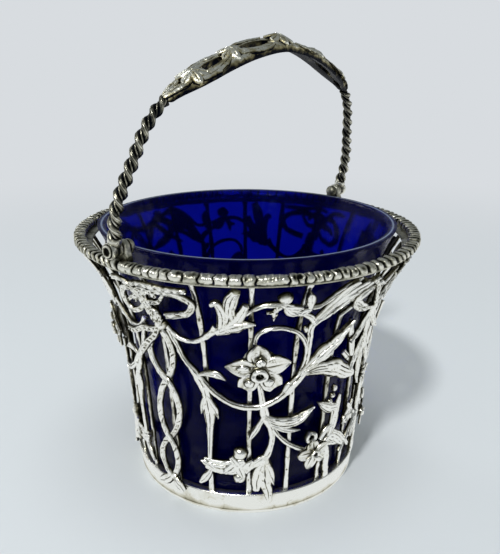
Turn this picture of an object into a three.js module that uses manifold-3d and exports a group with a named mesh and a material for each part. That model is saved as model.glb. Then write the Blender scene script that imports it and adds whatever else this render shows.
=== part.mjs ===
// Sugar basket of pierced and cast silver, with a swing handle and a lift-out glass liner.
// Millimetres, +Z up. The origin is the centre of the foot on the table.
// +X runs along the hinge pins of the handle.
import * as THREE from 'three';
import * as BufferGeometryUtils from 'three/addons/utils/BufferGeometryUtils.js';
import Module from 'manifold-3d';

const wasm = await Module();
wasm.setup();

// Body of the basket: a wall of upright bars that tapers and flares to the rim
const bodyHeight = 74.8; // table to the centre line of the rim border
const footRadius = 33.5; // outside of the bars, carried down to the table
const bodyTaper = 5; // what the straight taper adds to the radius over the height
const bodyFlare = 9.65; // what the curved flare adds to the radius at the rim
const flarePower = 5.5;
const seat = 0.3; // clearance between pieces that rest on each other

// Foot ring and the plate that carries the liner
const footHeight = 6.7;
const footStep = 0.5; // the ring stands this far outside the bars at the table
const footSpread = 0.9; // and this much further out at its top
const footWall = 1.2;
const ledgeDepth = 1;
const plateThickness = 1;
const plateHeight = 1.5; // table to the underside of the plate

// Glass liner, drawn from the wall that it stands in
const glassClearance = 0.6; // inside of the bars to the glass, carried down to the table
const glassTaperGap = 1.1; // the glass tapers and flares less than the wall by these
const glassFlareGap = 2.35;
const glassPower = 5;
const glassStand = 2.7; // the glass stands this far above the centre line of the rim border
const glassWall = 2.2;
const glassFloor = 3;
const glassCorner = 1.6; // rounding of the outer edge at the foot

// Upright bars
const barCount = 20;
const barWidth = 1.6;
const barDepth = 0.9;

// Rim: a flat flange under a beaded border wire
const borderInset = 0.15; // centre line of the border wire inside the line of the bars
const borderWire = 1.75; // radius of the wire over the beads
const beadDepth = 0.3; // how deep the grooves between the beads are cut
const beadCount = 84;
const flangeThickness = 0.5;
const flangeOverhang = 1.2; // past the centre line of the border wire

// Hinges, along X from the inside of the rim outwards
const hingeClearance = 0.2; // top of the border wire to the eye of the handle
const pinRadius = 0.75;
const pinClearance = 0.3;
const headRadius = 1.9;
const headLength = 1.9;
const headClearance = 0.5; // rim of the glass to the inner end of the pin
const lugThickness = 1.8;
const lugRadius = 2.1;
const lugFootWidth = 6;
const eyeLength = 3;
const eyeRadius = 1.75;
const rivetRadius = 1.7;
const rivetLength = 0.6;
const neckLength = 3; // hinge axis to the top of the neck of the eye

// Swing handle, measured in its own plane from the hinge axis
const handleRise = 48.2; // hinge axis to the centre line of the arch
const armFootRadius = 1.6;
const armTopRadius = 1.2;
const twistPitch = 8;
const archHalfWidth = 4.2;
const archThickness = 1.9;
const archRail = 1.3; // width of the two side rails
const archReach = 40.8; // length of the arch from its middle to each arm
const archLeafWidth = 2.6;
const handleFlowerRadius = 4.3;
const restLean = 11.85 * THREE.MathUtils.DEG2RAD; // towards -Y

// Cast ornament on the wall, in two layers
const vineThickness = 0.85;
const vineStagger = 0.09; // crossing pieces of a casting are thinned by this on each face, level by level
const bloomLift = 0.35; // from the vines to the flowers and bows
const bloomThickness = 1.1;
const leafWidth = 4.4;
const berryRadius = 1.9;
const ribbonWidth = 1.7;
const bowRibbonWidth = 1.4;
const knotRadius = 2;
const largePetalLength = 7.6;
const smallPetalLength = 4.6;
const panelTurn = 4 * THREE.MathUtils.DEG2RAD; // bows stand this far round from the hinges
const barTurn = 5 * THREE.MathUtils.DEG2RAD;

// Facets
const ringFacets = 40;
const glassFacets = 36;
const glassSteps = 5;
const borderSides = 5;
const barSteps = 5;
const roundSides = 10;
const armSteps = 28;
const archSteps = 20;
const vineLevels = 3;
const armSides = 8;
const bossSides = 6;
const ovalPoints = 10;
const tailSteps = 3;
const mergeShare = 2e-6; // points nearer than this share of the height are one
const nudgeShare = 0.001; // step for measuring a sheet

const silver = { color: 0xc9cbc6, roughness: 0.28, metalness: 1 };
const agedSilver = { color: 0x8f9088, roughness: 0.36, metalness: 1 };
const cobaltGlass = { color: 0x0a0f6b, roughness: 0.05, metalness: 0 };

const basket = new THREE.Group();

function named(name, geometry, look, parent = basket) {
  const mesh = new THREE.Mesh(geometry, new THREE.MeshStandardMaterial(look));
  mesh.name = name;
  parent.add(mesh);
  return mesh;
}

// Merges shared vertices and turns the faces outwards
function closed(geometry) {
  geometry.deleteAttribute('uv');
  geometry.deleteAttribute('normal');
  const merged = BufferGeometryUtils.mergeVertices(geometry, bodyHeight * mergeShare);
  const index = merged.index.array;
  const [a, b, c] = [new THREE.Vector3(), new THREE.Vector3(), new THREE.Vector3()];
  const kept = [];
  let volume = 0;
  for (let i = 0; i < index.length; i += 3) {
    const corners = [index[i], index[i + 1], index[i + 2]];
    if (new Set(corners).size < 3) continue;
    [a, b, c].forEach((corner, k) => corner.fromBufferAttribute(merged.attributes.position, corners[k]));
    volume += a.dot(b.cross(c));
    kept.push(corners);
  }
  merged.setIndex(kept.flatMap(([p, q, r]) => (volume < 0 ? [r, q, p] : [p, q, r])));
  merged.computeVertexNormals();
  return merged;
}

// Closed solid through rings of points, capped at both ends or looped back on itself
function skin(rings, looped = false) {
  const sides = rings[0].length;
  const positions = rings.flatMap((ring) => ring.flatMap((point) => point.toArray()));
  const index = [];
  const spans = looped ? rings.length : rings.length - 1;
  for (let i = 0; i < spans; i++) {
    for (let k = 0; k < sides; k++) {
      const [a, b] = [i * sides + k, i * sides + ((k + 1) % sides)];
      const next = ((i + 1) % rings.length) * sides;
      const [c, d] = [next + k, next + ((k + 1) % sides)];
      index.push(a, b, d, a, d, c);
    }
  }
  if (!looped) {
    const last = (rings.length - 1) * sides;
    for (let k = 1; k < sides - 1; k++) {
      index.push(0, k + 1, k, last, last + k, last + k + 1);
    }
  }
  const geometry = new THREE.BufferGeometry();
  geometry.setAttribute('position', new THREE.Float32BufferAttribute(positions, 3));
  geometry.setIndex(index);
  return closed(geometry);
}

function toSolid(geometry) {
  return new wasm.Manifold(new wasm.Mesh({
    numProp: 3,
    vertProperties: new Float32Array(geometry.attributes.position.array),
    triVerts: new Uint32Array(geometry.index.array),
  }));
}

function toGeometry(solid) {
  const mesh = solid.getMesh();
  const geometry = new THREE.BufferGeometry();
  geometry.setAttribute('position', new THREE.Float32BufferAttribute(mesh.vertProperties, 3));
  geometry.setIndex(Array.from(mesh.triVerts));
  return closed(geometry);
}

function join(geometries) {
  return toGeometry(geometries.map(toSolid).reduce((whole, piece) => whole.add(piece)));
}

function cut(geometry, ...tools) {
  return toGeometry(tools.map(toSolid).reduce((whole, tool) => whole.subtract(tool), toSolid(geometry)));
}

// Turned solid about Z from a profile of [radius, height]
function turned(profile, facets) {
  const points = profile.map(([radius, height]) => new THREE.Vector2(radius, height));
  return closed(new THREE.LatheGeometry(points, facets).rotateX(Math.PI / 2));
}

// Round bar along X between two places
function barAlongX(radius, start, end) {
  const bar = new THREE.CylinderGeometry(radius, radius, end - start, roundSides);
  return closed(bar.rotateZ(-Math.PI / 2).translate((start + end) / 2, 0, 0));
}

// Outside of the bars at a height
function wallRadius(z) {
  const t = z / bodyHeight;
  return footRadius + bodyTaper * t + bodyFlare * t ** flarePower;
}

// Place on the wall: height, turn about Z, and lift off the bars along the wall's normal
function onWall(turn, z, lift) {
  const t = Math.max(z / bodyHeight, 0);
  const slope = (bodyTaper + bodyFlare * flarePower * t ** (flarePower - 1)) / bodyHeight;
  const steep = Math.hypot(1, slope);
  const radius = wallRadius(z) + lift / steep;
  return new THREE.Vector3(radius * Math.cos(turn), radius * Math.sin(turn), z - (lift * slope) / steep);
}

// A quarter of the wall: share of the quarter from its bow, share of the way up the bars, lift
function wallSheet(origin, direction) {
  return (along, up, lift) => (
    onWall(origin + (direction * along * Math.PI) / 2, barFoot + up * (barTop - barFoot), lift)
  );
}

function smooth(places, count) {
  const points = places.map(([a, b]) => new THREE.Vector3(a, b, 0));
  const curve = new THREE.CatmullRomCurve3(points, false, 'centripetal');
  return curve.getPoints(count).map((point) => [point.x, point.y]);
}

// Sections of a strip: shares across its half width, and shares of its thickness
const flatSectionShares = [[-1, 0], [-0.6, 1], [0.6, 1], [1, 0]];
const ridgeSectionShares = [[-1, 0], [0, 1], [1, 0]];

// Strip of metal laid along a path on a sheet; width is a function of the share of the way
function strip(sheet, path, width, low, high, sectionShares, looped = false) {
  const last = path.length - 1;
  const rings = path.map(([a, b], i) => {
    const before = path[looped ? (i + last) % (last + 1) : Math.max(i - 1, 0)];
    const after = path[looped ? (i + 1) % (last + 1) : Math.min(i + 1, last)];
    const here = sheet(a, b, 0);
    const perA = sheet(a + nudgeShare, b, 0).distanceTo(here) / nudgeShare;
    const perB = sheet(a, b + nudgeShare, 0).distanceTo(here) / nudgeShare;
    const [runA, runB] = [(after[0] - before[0]) * perA, (after[1] - before[1]) * perB];
    const run = Math.hypot(runA, runB);
    return sectionShares.map(([across, rise]) => {
      const offset = (across * width(i / last)) / 2;
      const lift = low + (high - low) * rise;
      return sheet(a - (runB / run) * (offset / perA), b + (runA / run) * (offset / perB), lift);
    });
  });
  return skin(rings, looped);
}

// Domed boss on a sheet
const bossStepShares = [[1, 0], [0.6, 1]];
function boss(sheet, [a, b], radius, low, high) {
  const here = sheet(a, b, 0);
  const perA = sheet(a + nudgeShare, b, 0).distanceTo(here) / nudgeShare;
  const perB = sheet(a, b + nudgeShare, 0).distanceTo(here) / nudgeShare;
  return skin(bossStepShares.map(([size, rise]) => Array.from({ length: bossSides }, (_, k) => {
    const turn = ((k + 0.5) / bossSides) * 2 * Math.PI;
    const [x, y] = [radius * size * Math.cos(turn), radius * size * Math.sin(turn)];
    return sheet(a + x / perA, b + y / perB, low + (high - low) * rise);
  })));
}

// Width along a strip: even, or spread from a list of shares
const even = (width) => () => width;
const spread = (full, shares) => (t) => {
  const place = t * (shares.length - 1);
  const i = Math.min(Math.floor(place), shares.length - 2);
  return full * (shares[i] + (shares[i + 1] - shares[i]) * (place - i));
};

// Foot ring with an inward ledge under the bars
const glassTop = bodyHeight + glassStand;
const glassFootRadius = footRadius - barDepth - glassClearance;
const glassTaper = bodyTaper - glassTaperGap;
const glassFlare = bodyFlare - glassFlareGap;
const glassRadius = (z) => (
  glassFootRadius + glassTaper * (z / glassTop) + glassFlare * (z / glassTop) ** glassPower
);
const footOuter = (z) => footRadius + footStep + footSpread * (z / footHeight);
const ledgeHeight = footHeight - ledgeDepth;
const ledgeRadius = glassRadius(footHeight) + seat;
named('foot_ring', turned([
  [footOuter(0), 0],
  [footOuter(footHeight), footHeight],
  [ledgeRadius, footHeight],
  [ledgeRadius, ledgeHeight],
  [footOuter(ledgeHeight) - footWall, ledgeHeight],
  [footOuter(0) - footWall, 0],
  [footOuter(0), 0],
], ringFacets), silver);

// Plate inside the foot ring that the liner stands on
const plateTop = plateHeight + plateThickness;
const plateRadius = footOuter(plateHeight) - footWall - seat;
named('base_plate', turned([
  [0, plateHeight],
  [plateRadius, plateHeight],
  [plateRadius, plateTop],
  [0, plateTop],
], ringFacets), silver);

// Glass liner: outside up to the flat ground rim, then down the inside
const glassBase = plateTop + seat;
const heightShares = Array.from({ length: glassSteps }, (_, i) => (i + 1) / glassSteps);
const glassStart = glassBase + glassCorner;
const outside = heightShares.map((t) => glassStart + (glassTop - glassStart) * Math.sqrt(t));
const cavityFloor = glassBase + glassFloor;
const cavityStart = cavityFloor + glassCorner;
const inside = heightShares.map((t) => cavityStart + (glassTop - cavityStart) * Math.sqrt(t));
named('glass_liner', turned([
  [0, glassBase],
  [glassRadius(glassBase) - glassCorner, glassBase],
  [glassRadius(glassStart), glassStart],
  ...outside.map((z) => [glassRadius(z), z]),
  ...inside.reverse().map((z) => [glassRadius(z) - glassWall, z]),
  [glassRadius(cavityFloor) - glassWall - glassCorner, cavityFloor],
  [0, cavityFloor],
], glassFacets), cobaltGlass);

// Rim flange and the beaded border wire above it
const flangeTop = bodyHeight - borderWire - seat;
const flangeFloor = flangeTop - flangeThickness;
const barTop = flangeFloor - seat;
const flangeInner = wallRadius(barTop) - barDepth;
const borderRadius = wallRadius(bodyHeight) - borderInset;
const flangeOuter = borderRadius + flangeOverhang;
named('rim_flange', turned([
  [flangeInner, flangeFloor],
  [flangeOuter, flangeFloor],
  [flangeOuter, flangeTop],
  [flangeInner, flangeTop],
  [flangeInner, flangeFloor],
], ringFacets), silver);

// Ring of points round the border wire at a turn about Z
function wireRing(turn, radius, sides) {
  return Array.from({ length: sides }, (_, k) => {
    const angle = ((k + 0.5) / sides) * 2 * Math.PI;
    const reach = borderRadius + radius * Math.cos(angle);
    const rise = radius * Math.sin(angle);
    return new THREE.Vector3(reach * Math.cos(turn), reach * Math.sin(turn), bodyHeight + rise);
  });
}
named('rim_border', skin(Array.from({ length: beadCount * 2 }, (_, i) => {
  const turn = (i / (beadCount * 2)) * 2 * Math.PI;
  return wireRing(turn, i % 2 ? borderWire : borderWire - beadDepth, borderSides);
}), true), silver);

// Upright bars from the foot ring to the flange
const barFoot = footHeight + seat;
for (let i = 0; i < barCount; i++) {
  const turn = barTurn + (i / barCount) * 2 * Math.PI;
  const rings = Array.from({ length: barSteps + 1 }, (_, k) => {
    const z = barFoot + (barTop - barFoot) * Math.sqrt(k / barSteps);
    const half = barWidth / 2 / wallRadius(z);
    return [[-1, 0], [1, 0], [1, -barDepth], [-1, -barDepth]].map(([side, lift]) => {
      const across = 1 + lift / wallRadius(z);
      return onWall(turn + side * half, z, 0).multiply(new THREE.Vector3(across, across, 1));
    });
  });
  named(`upright_bar_${String(i + 1).padStart(2, '0')}`, skin(rings), silver);
}

// Vine panel: stems and leaves as [share of the quarter, share of the bars], with widths
// as shares of the broadest leaf, evenly spaced along the way
const vineShares = [
  { path: [[0.112, 0.698], [0.16, 0.612], [0.235, 0.508], [0.34, 0.445], [0.47, 0.445], [0.59, 0.514],
    [0.655, 0.606], [0.662, 0.767], [0.69, 0.86], [0.78, 0.981]],
  steps: 13, widths: [0.42, 0.42, 0.42, 0.52, 0.45, 0.42] },
  { path: [[0.115, 0.704], [0.15, 0.724], [0.2, 0.739], [0.28, 0.796], [0.315, 0.894], [0.345, 0.992]],
    steps: 7, widths: [0.32, 0.32, 0.34, 0.45, 0.8, 0.3] },
  { path: [[0.275, 0.791], [0.275, 0.848], [0.29, 0.921]], steps: 2, widths: [0.4, 0.75, 0.3] },
  { path: [[0.29, 0.796], [0.345, 0.883], [0.385, 0.975]], steps: 2, widths: [0.4, 0.7, 0.3] },
  { path: [[0.29, 0.796], [0.36, 0.831], [0.43, 0.852]], steps: 2, widths: [0.4, 0.55, 0.15] },
  { path: [[0.33, 0.814], [0.38, 0.888], [0.45, 0.923], [0.54, 0.92], [0.62, 0.894], [0.685, 0.848]],
    steps: 6, widths: [0.3, 0.32, 0.32] },
  { path: [[0.48, 0.917], [0.51, 0.952], [0.55, 0.975]], steps: 2, widths: [0.3, 0.8, 0.4] },
  { path: [[0.585, 0.906], [0.595, 0.946], [0.605, 0.986]], steps: 2, widths: [0.3, 0.6, 0.25] },
  { path: [[0.62, 0.894], [0.69, 0.906], [0.76, 0.952], [0.81, 0.99]], steps: 3, widths: [0.3, 0.32] },
  { path: [[0.43, 0.75], [0.467, 0.808], [0.525, 0.814], [0.59, 0.779], [0.655, 0.664]],
    steps: 6, widths: [0.25, 0.28] },
  { path: [[0.446, 0.554], [0.456, 0.474], [0.478, 0.399], [0.512, 0.318], [0.52, 0.249], [0.5, 0.169],
    [0.5, 0.1], [0.525, 0.017]], steps: 8, widths: [0.38, 0.4, 0.42, 0.42, 0.5, 0.95, 0.4] },
  { path: [[0.19, 0.577], [0.25, 0.583], [0.32, 0.566]], steps: 3, widths: [0.4, 0.6, 0.1] },
  { path: [[0.222, 0.526], [0.225, 0.434], [0.235, 0.318], [0.224, 0.128]],
    steps: 4, widths: [0.35, 0.85, 0.5, 0.3] },
  { path: [[0.222, 0.48], [0.245, 0.422], [0.272, 0.382]], steps: 2, widths: [0.3, 0.5, 0.15] },
  { path: [[0.47, 0.416], [0.452, 0.347], [0.42, 0.295]], steps: 2, widths: [0.3, 0.5, 0.15] },
  { path: [[0.485, 0.382], [0.545, 0.33], [0.625, 0.336], [0.715, 0.407]],
    steps: 5, widths: [0.3, 0.65, 0.6, 0.1] },
  { path: [[0.5, 0.18], [0.47, 0.111], [0.462, 0.059]], steps: 2, widths: [0.4, 0.7, 0.3] },
  { path: [[0.515, 0.29], [0.567, 0.249], [0.65, 0.194], [0.74, 0.18], [0.8, 0.238], [0.86, 0.295],
    [0.925, 0.387]], steps: 8, widths: [0.33, 0.33, 0.4, 0.6, 0.65, 0.5] },
  { path: [[0.8, 0.243], [0.825, 0.134], [0.83, 0.076], [0.852, 0.017]], steps: 3, widths: [0.4, 0.42] },
  { path: [[0.79, 0.226], [0.86, 0.186], [0.92, 0.151], [0.985, 0.105]], steps: 3, widths: [0.38, 0.38] },
  { path: [[0.162, 0.163], [0.2, 0.14], [0.32, 0.151], [0.41, 0.14], [0.5, 0.194]],
    steps: 6, widths: [0.2, 0.5, 0.5, 0.5, 0.3] },
  { path: [[0.23, 0.14], [0.19, 0.094], [0.162, 0.053]], steps: 2, widths: [0.4, 0.6, 0.2] },
  { path: [[0.6, 0.526], [0.69, 0.629], [0.78, 0.698], [0.865, 0.791]],
    steps: 5, widths: [0.4, 0.6, 0.95, 0.15] },
  { path: [[0.64, 0.572], [0.75, 0.589], [0.85, 0.526], [0.955, 0.503]],
    steps: 5, widths: [0.3, 0.95, 0.7, 0.1] },
  { path: [[0.745, 0.416], [0.82, 0.376], [0.91, 0.353]], steps: 3, widths: [0.1, 0.7, 0.5] },
];
const berryShares = [[0.36, 0.117], [0.366, 0.177], [0.488, 0.898]];
const largeFlowerShare = [0.444, 0.614];
const smallFlowerShare = [0.733, 0.169];
const vineLow = seat;
const vineHigh = vineLow + vineThickness;
const bloomLow = vineHigh + bloomLift;
const bloomHigh = bloomLow + bloomThickness;

function vinePanel(sheet) {
  const castings = vineShares.map(({ path, steps, widths }, i) => {
    const inset = (i % vineLevels) * vineStagger;
    const width = spread(leafWidth, widths);
    return strip(sheet, smooth(path, steps), width, vineLow + inset, vineHigh - inset, ridgeSectionShares);
  });
  const berries = berryShares.map((place) => boss(sheet, place, berryRadius, vineLow, vineHigh));
  return join([...castings, ...berries]);
}

// Flower in one piece: petals as [turn from straight up, share of the length], round a boss
const largePetalShares = [[0, 1], [1.4, 0.98], [2.55, 0.8], [3.73, 0.8], [4.88, 0.98]];
const smallPetalShares = [[0.3, 1], [1.55, 1], [2.8, 1], [4.1, 1], [5.3, 1]];
const petalStepShares = [[-0.588, 0.55], [-0.336, 0.82], [0, 1], [0.336, 0.82]]; // [turn, reach] of a petal
const petalRingShares = [[1, 0], [0.97, 0.4]]; // [reach, rise] of the petals' edge
const domeRingShares = [[0.42, 0.6], [0.22, 1]]; // [reach, rise] of the round boss
function flower(sheet, [a, b], petalShares, length, low, high) {
  const here = sheet(a, b, 0);
  const perA = sheet(a + nudgeShare, b, 0).distanceTo(here) / nudgeShare;
  const perB = sheet(a, b + nudgeShare, 0).distanceTo(here) / nudgeShare;
  const outline = petalShares.flatMap(([turn, size]) => (
    petalStepShares.map(([offset, reach]) => [turn + offset, reach * size])));
  const place = (turn, reach, rise) => (
    sheet(a + (Math.sin(turn) * reach) / perA, b + (Math.cos(turn) * reach) / perB, low + (high - low) * rise));
  return skin([
    ...petalRingShares.map(([size, rise]) => (
      outline.map(([turn, reach]) => place(turn, length * reach * size, rise)))),
    ...domeRingShares.map(([size, rise]) => outline.map(([turn]) => place(turn, length * size, rise))),
  ]);
}

// Ribbons that cross down the wall from a bow to the foot, as shares like the vines
const crossingShares = [[0.022, 0.767], [0.006, 0.514], [-0.011, 0.223], [-0.006, 0.017]];
const loopShares = [0.082, 0.072, 0.062];
const ribbonSteps = 4; // strips from one crossing to the next
function ribbonDrop(sheet) {
  const ribbons = [-1, 1].map((hand) => {
    const path = loopShares.flatMap((width, i) => {
      const [[startA, startB], [endA, endB]] = [crossingShares[i], crossingShares[i + 1]];
      const side = i % 2 ? -hand : hand;
      return Array.from({ length: ribbonSteps }, (_, k) => [
        startA + ((endA - startA) * k) / ribbonSteps + side * width * Math.sin((k * Math.PI) / ribbonSteps),
        startB + ((endB - startB) * k) / ribbonSteps,
      ]);
    });
    path.push(crossingShares[loopShares.length]);
    const inset = ((hand + 1) / 2) * vineStagger;
    return strip(sheet, path, even(ribbonWidth), vineLow + inset, vineHigh - inset, flatSectionShares);
  });
  return join(ribbons);
}

// Loop of ribbon: an oval ring round a place, as shares
function oval([a, b], [halfA, halfB], tilt) {
  return Array.from({ length: ovalPoints }, (_, k) => {
    const turn = (k / ovalPoints) * 2 * Math.PI;
    return [a + halfA * Math.cos(turn) + tilt * Math.sin(turn), b + halfB * Math.sin(turn)];
  });
}

const bowShares = {
  loops: [
    { at: [0.125, 0.911], half: [0.08, 0.052], tilt: 0.01 },
    { at: [-0.085, 0.906], half: [0.065, 0.058], tilt: -0.015 },
  ],
  tails: [
    [[-0.04, 0.917], [0.03, 0.975], [0.11, 0.996], [0.2, 0.975]],
    [[-0.13, 0.981], [-0.05, 0.963], [0.03, 0.802]],
    [[0.03, 0.791], [0.05, 0.871], [0.09, 0.871]],
    [[0.03, 0.802], [0.09, 0.739], [0.12, 0.727]],
    [[0.03, 0.802], [-0.05, 0.756], [-0.1, 0.733]],
  ],
  knot: [0.032, 0.796],
};
const sideBowShares = {
  loops: [
    { at: [0.095, 0.877], half: [0.085, 0.058], tilt: 0.01 },
    { at: [-0.095, 0.877], half: [0.085, 0.058], tilt: -0.01 },
  ],
  tails: [
    [[0.01, 0.814], [0.08, 0.94], [0.14, 1]],
    [[-0.01, 0.814], [-0.08, 0.94], [-0.14, 1]],
  ],
  knot: [0, 0.814],
};
// Husks that hang below a side bow
const huskShares = [
  { path: [[0, 0.814], [0.06, 0.721], [0.115, 0.687]], widths: [0.35, 0.6, 0.2] },
  { path: [[0, 0.814], [-0.06, 0.721], [-0.115, 0.687]], widths: [0.35, 0.6, 0.2] },
  { path: [[0, 0.687], [0.03, 0.606], [0.075, 0.537]], widths: [0.3, 0.65, 0.15] },
  { path: [[0, 0.687], [-0.03, 0.606], [-0.075, 0.537]], widths: [0.3, 0.65, 0.15] },
  { path: [[0, 0.814], [0, 0.698], [0, 0.56], [0, 0.434]], widths: [0.3, 0.75, 0.35, 0.8, 0.15] },
];
function bow(sheet, { loops, tails, knot }, husks = []) {
  const ribbons = [
    ...loops.map(({ at, half, tilt }) => ({ path: oval(at, half, tilt), looped: true })),
    ...tails.map((path) => ({ path: smooth(path, tailSteps), looped: false })),
  ];
  const pieces = ribbons.map(({ path, looped }, i) => {
    const inset = (i % vineLevels) * vineStagger;
    const [low, high] = [bloomLow + inset, bloomHigh - inset];
    return strip(sheet, path, even(bowRibbonWidth), low, high, flatSectionShares, looped);
  });
  husks.forEach(({ path, widths }, i) => {
    const inset = ((i + 1) % vineLevels) * vineStagger;
    const [low, high] = [bloomLow + inset, bloomHigh - inset];
    const husk = smooth(path, path.length);
    pieces.push(strip(sheet, husk, spread(leafWidth, widths), low, high, ridgeSectionShares));
  });
  pieces.push(boss(sheet, knot, knotRadius, bloomLow, bloomHigh));
  return join(pieces);
}

// Two bows with ribbons under the hinges, each with a panel on either hand
let panelNumber = 0;
[['far', 0], ['near', Math.PI]].forEach(([end, turn]) => {
  const home = wallSheet(panelTurn + turn, 1);
  named(`ribbon_drop_${end}`, ribbonDrop(home), silver);
  named(`bow_${end}`, bow(home, bowShares), silver);
  [1, -1].forEach((direction) => {
    const sheet = wallSheet(panelTurn + turn, direction);
    panelNumber += 1;
    named(`vine_panel_${panelNumber}`, vinePanel(sheet), silver);
    named(`flower_large_${panelNumber}`,
      flower(sheet, largeFlowerShare, largePetalShares, largePetalLength, bloomLow, bloomHigh), silver);
    named(`flower_small_${panelNumber}`,
      flower(sheet, smallFlowerShare, smallPetalShares, smallPetalLength, bloomLow, bloomHigh), silver);
  });
});
[['right', Math.PI / 2], ['left', -Math.PI / 2]].forEach(([end, turn]) => {
  named(`side_bow_${end}`, bow(wallSheet(panelTurn + turn, 1), sideBowShares, huskShares), silver);
});

// Hinges: lug saddled on the border wire, and the pin through lug and handle eye
const hingeHeight = bodyHeight + borderWire + hingeClearance + eyeRadius;
const headStart = glassRadius(glassTop) + headClearance;
const lugStart = headStart + headLength + seat;
const lugEnd = lugStart + lugThickness;
const eyeStart = lugEnd + seat;
const eyeEnd = eyeStart + eyeLength;
const rivetStart = eyeEnd + seat;
const rivetEnd = rivetStart + rivetLength;
const lugFloor = bodyHeight;
const lugBody = new THREE.BoxGeometry(lugThickness, lugRadius * 2, hingeHeight - lugFloor)
  .translate((lugStart + lugEnd) / 2, 0, (hingeHeight + lugFloor) / 2);
const lugFootHeight = hingeHeight - pinRadius - pinClearance - lugFloor;
const lugFoot = new THREE.BoxGeometry(lugThickness, lugFootWidth, lugFootHeight)
  .translate((lugStart + lugEnd) / 2, 0, lugFloor + lugFootHeight / 2);
const wireArc = lugFootWidth / borderRadius; // turn each way of the wire that the saddle is cut by
const wireSteps = 8;
const saddle = skin(Array.from({ length: wireSteps + 1 }, (_, i) => (
  wireRing(wireArc * ((2 * i) / wireSteps - 1), borderWire + seat, roundSides)
)));
const hole = barAlongX(pinRadius + pinClearance, lugStart - seat, eyeEnd + seat);
const lug = cut(
  join([closed(lugBody), closed(lugFoot), barAlongX(lugRadius, lugStart, lugEnd).translate(0, 0, hingeHeight)]),
  saddle,
  hole.clone().translate(0, 0, hingeHeight),
);
const domeSteps = 3;
const domeShare = 0.75; // of the length of the head
const pin = turned([
  ...Array.from({ length: domeSteps + 1 }, (_, i) => {
    const turn = (i / domeSteps) * (Math.PI / 2);
    return [headRadius * Math.sin(turn), headStart + headLength * domeShare * (1 - Math.cos(turn))];
  }),
  [headRadius, headStart + headLength],
  [pinRadius, headStart + headLength],
  [pinRadius, rivetStart],
  [rivetRadius, rivetStart],
  [rivetRadius, rivetEnd],
  [0, rivetEnd],
], roundSides).rotateY(Math.PI / 2).translate(0, 0, hingeHeight);
[['far', 0], ['near', Math.PI]].forEach(([end, turn]) => {
  const hinge = new THREE.Group();
  hinge.rotation.z = turn;
  basket.add(hinge);
  named(`rim_lug_${end}`, lug, silver, hinge);
  named(`hinge_pin_${end}`, pin, silver, hinge);
});

// Handle, in its own plane: x along the hinge axis, z up, leaning towards -Y at rest
const handle = new THREE.Group();
handle.position.z = hingeHeight;
handle.rotation.x = restLean;
basket.add(handle);
const handleHalfSpan = (eyeStart + eyeEnd) / 2;

// Half of the handle's centre line, as shares of the half span and of the rise
const handleShares = [[1, 0], [1.002, 0.095], [1.008, 0.18], [0.988, 0.29], [0.933, 0.44], [0.869, 0.604],
  [0.77, 0.725], [0.606, 0.822], [0.404, 0.914], [0.202, 0.975]];
const handlePoints = [
  ...handleShares.map(([x, z]) => [-x, z]),
  [0, 1],
  ...handleShares.map(([x, z]) => [x, z]).reverse(),
];
const handlePlaces = handlePoints.map(([x, z]) => new THREE.Vector3(x * handleHalfSpan, 0, z * handleRise));
const handleLine = new THREE.CatmullRomCurve3(handlePlaces, false, 'centripetal');
const halfLength = handleLine.getLength() / 2;

// Place and directions at a length along the handle from its middle
function alongHandle(length) {
  const share = THREE.MathUtils.clamp((length / halfLength + 1) / 2, 0, 1);
  const tangent = handleLine.getTangentAt(share);
  return { point: handleLine.getPointAt(share), out: new THREE.Vector3(-tangent.z, 0, tangent.x) };
}
const archSheet = (along, across, lift) => {
  const { point, out } = alongHandle(along * archReach);
  return point.addScaledVector(out, lift).add(new THREE.Vector3(0, across * archHalfWidth, 0));
};

// Eye with its neck
const eye = cut(
  join([
    barAlongX(eyeRadius, eyeStart, eyeEnd),
    closed(new THREE.CylinderGeometry(armFootRadius, armFootRadius, neckLength, roundSides)
      .rotateX(Math.PI / 2).translate(handleHalfSpan, 0, neckLength / 2)),
  ]),
  hole,
);

// Arm: two strands twisted together, so its section is a two-lobed round that turns
const armStart = halfLength - neckLength - seat;
const armEnd = archReach + seat;
const lobeShare = 0.18;
const arm = skin(Array.from({ length: armSteps + 1 }, (_, i) => {
  const length = armStart + (armEnd - armStart) * (i / armSteps);
  const { point, out } = alongHandle(length);
  const radius = armFootRadius + (armTopRadius - armFootRadius) * (i / armSteps);
  return Array.from({ length: armSides }, (_, k) => {
    const turn = (k / armSides) * 2 * Math.PI;
    const lobe = 1 - lobeShare + lobeShare * Math.cos(2 * turn - (4 * Math.PI * length) / twistPitch);
    return point.clone()
      .addScaledVector(out, radius * lobe * Math.cos(turn))
      .add(new THREE.Vector3(0, radius * lobe * Math.sin(turn), 0));
  });
}));
[['far', 0], ['near', Math.PI]].forEach(([end, turn]) => {
  const side = new THREE.Group();
  side.rotation.z = turn;
  handle.add(side);
  named(`handle_eye_${end}`, eye, agedSilver, side);
  named(`handle_arm_${end}`, arm, agedSilver, side);
});

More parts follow.
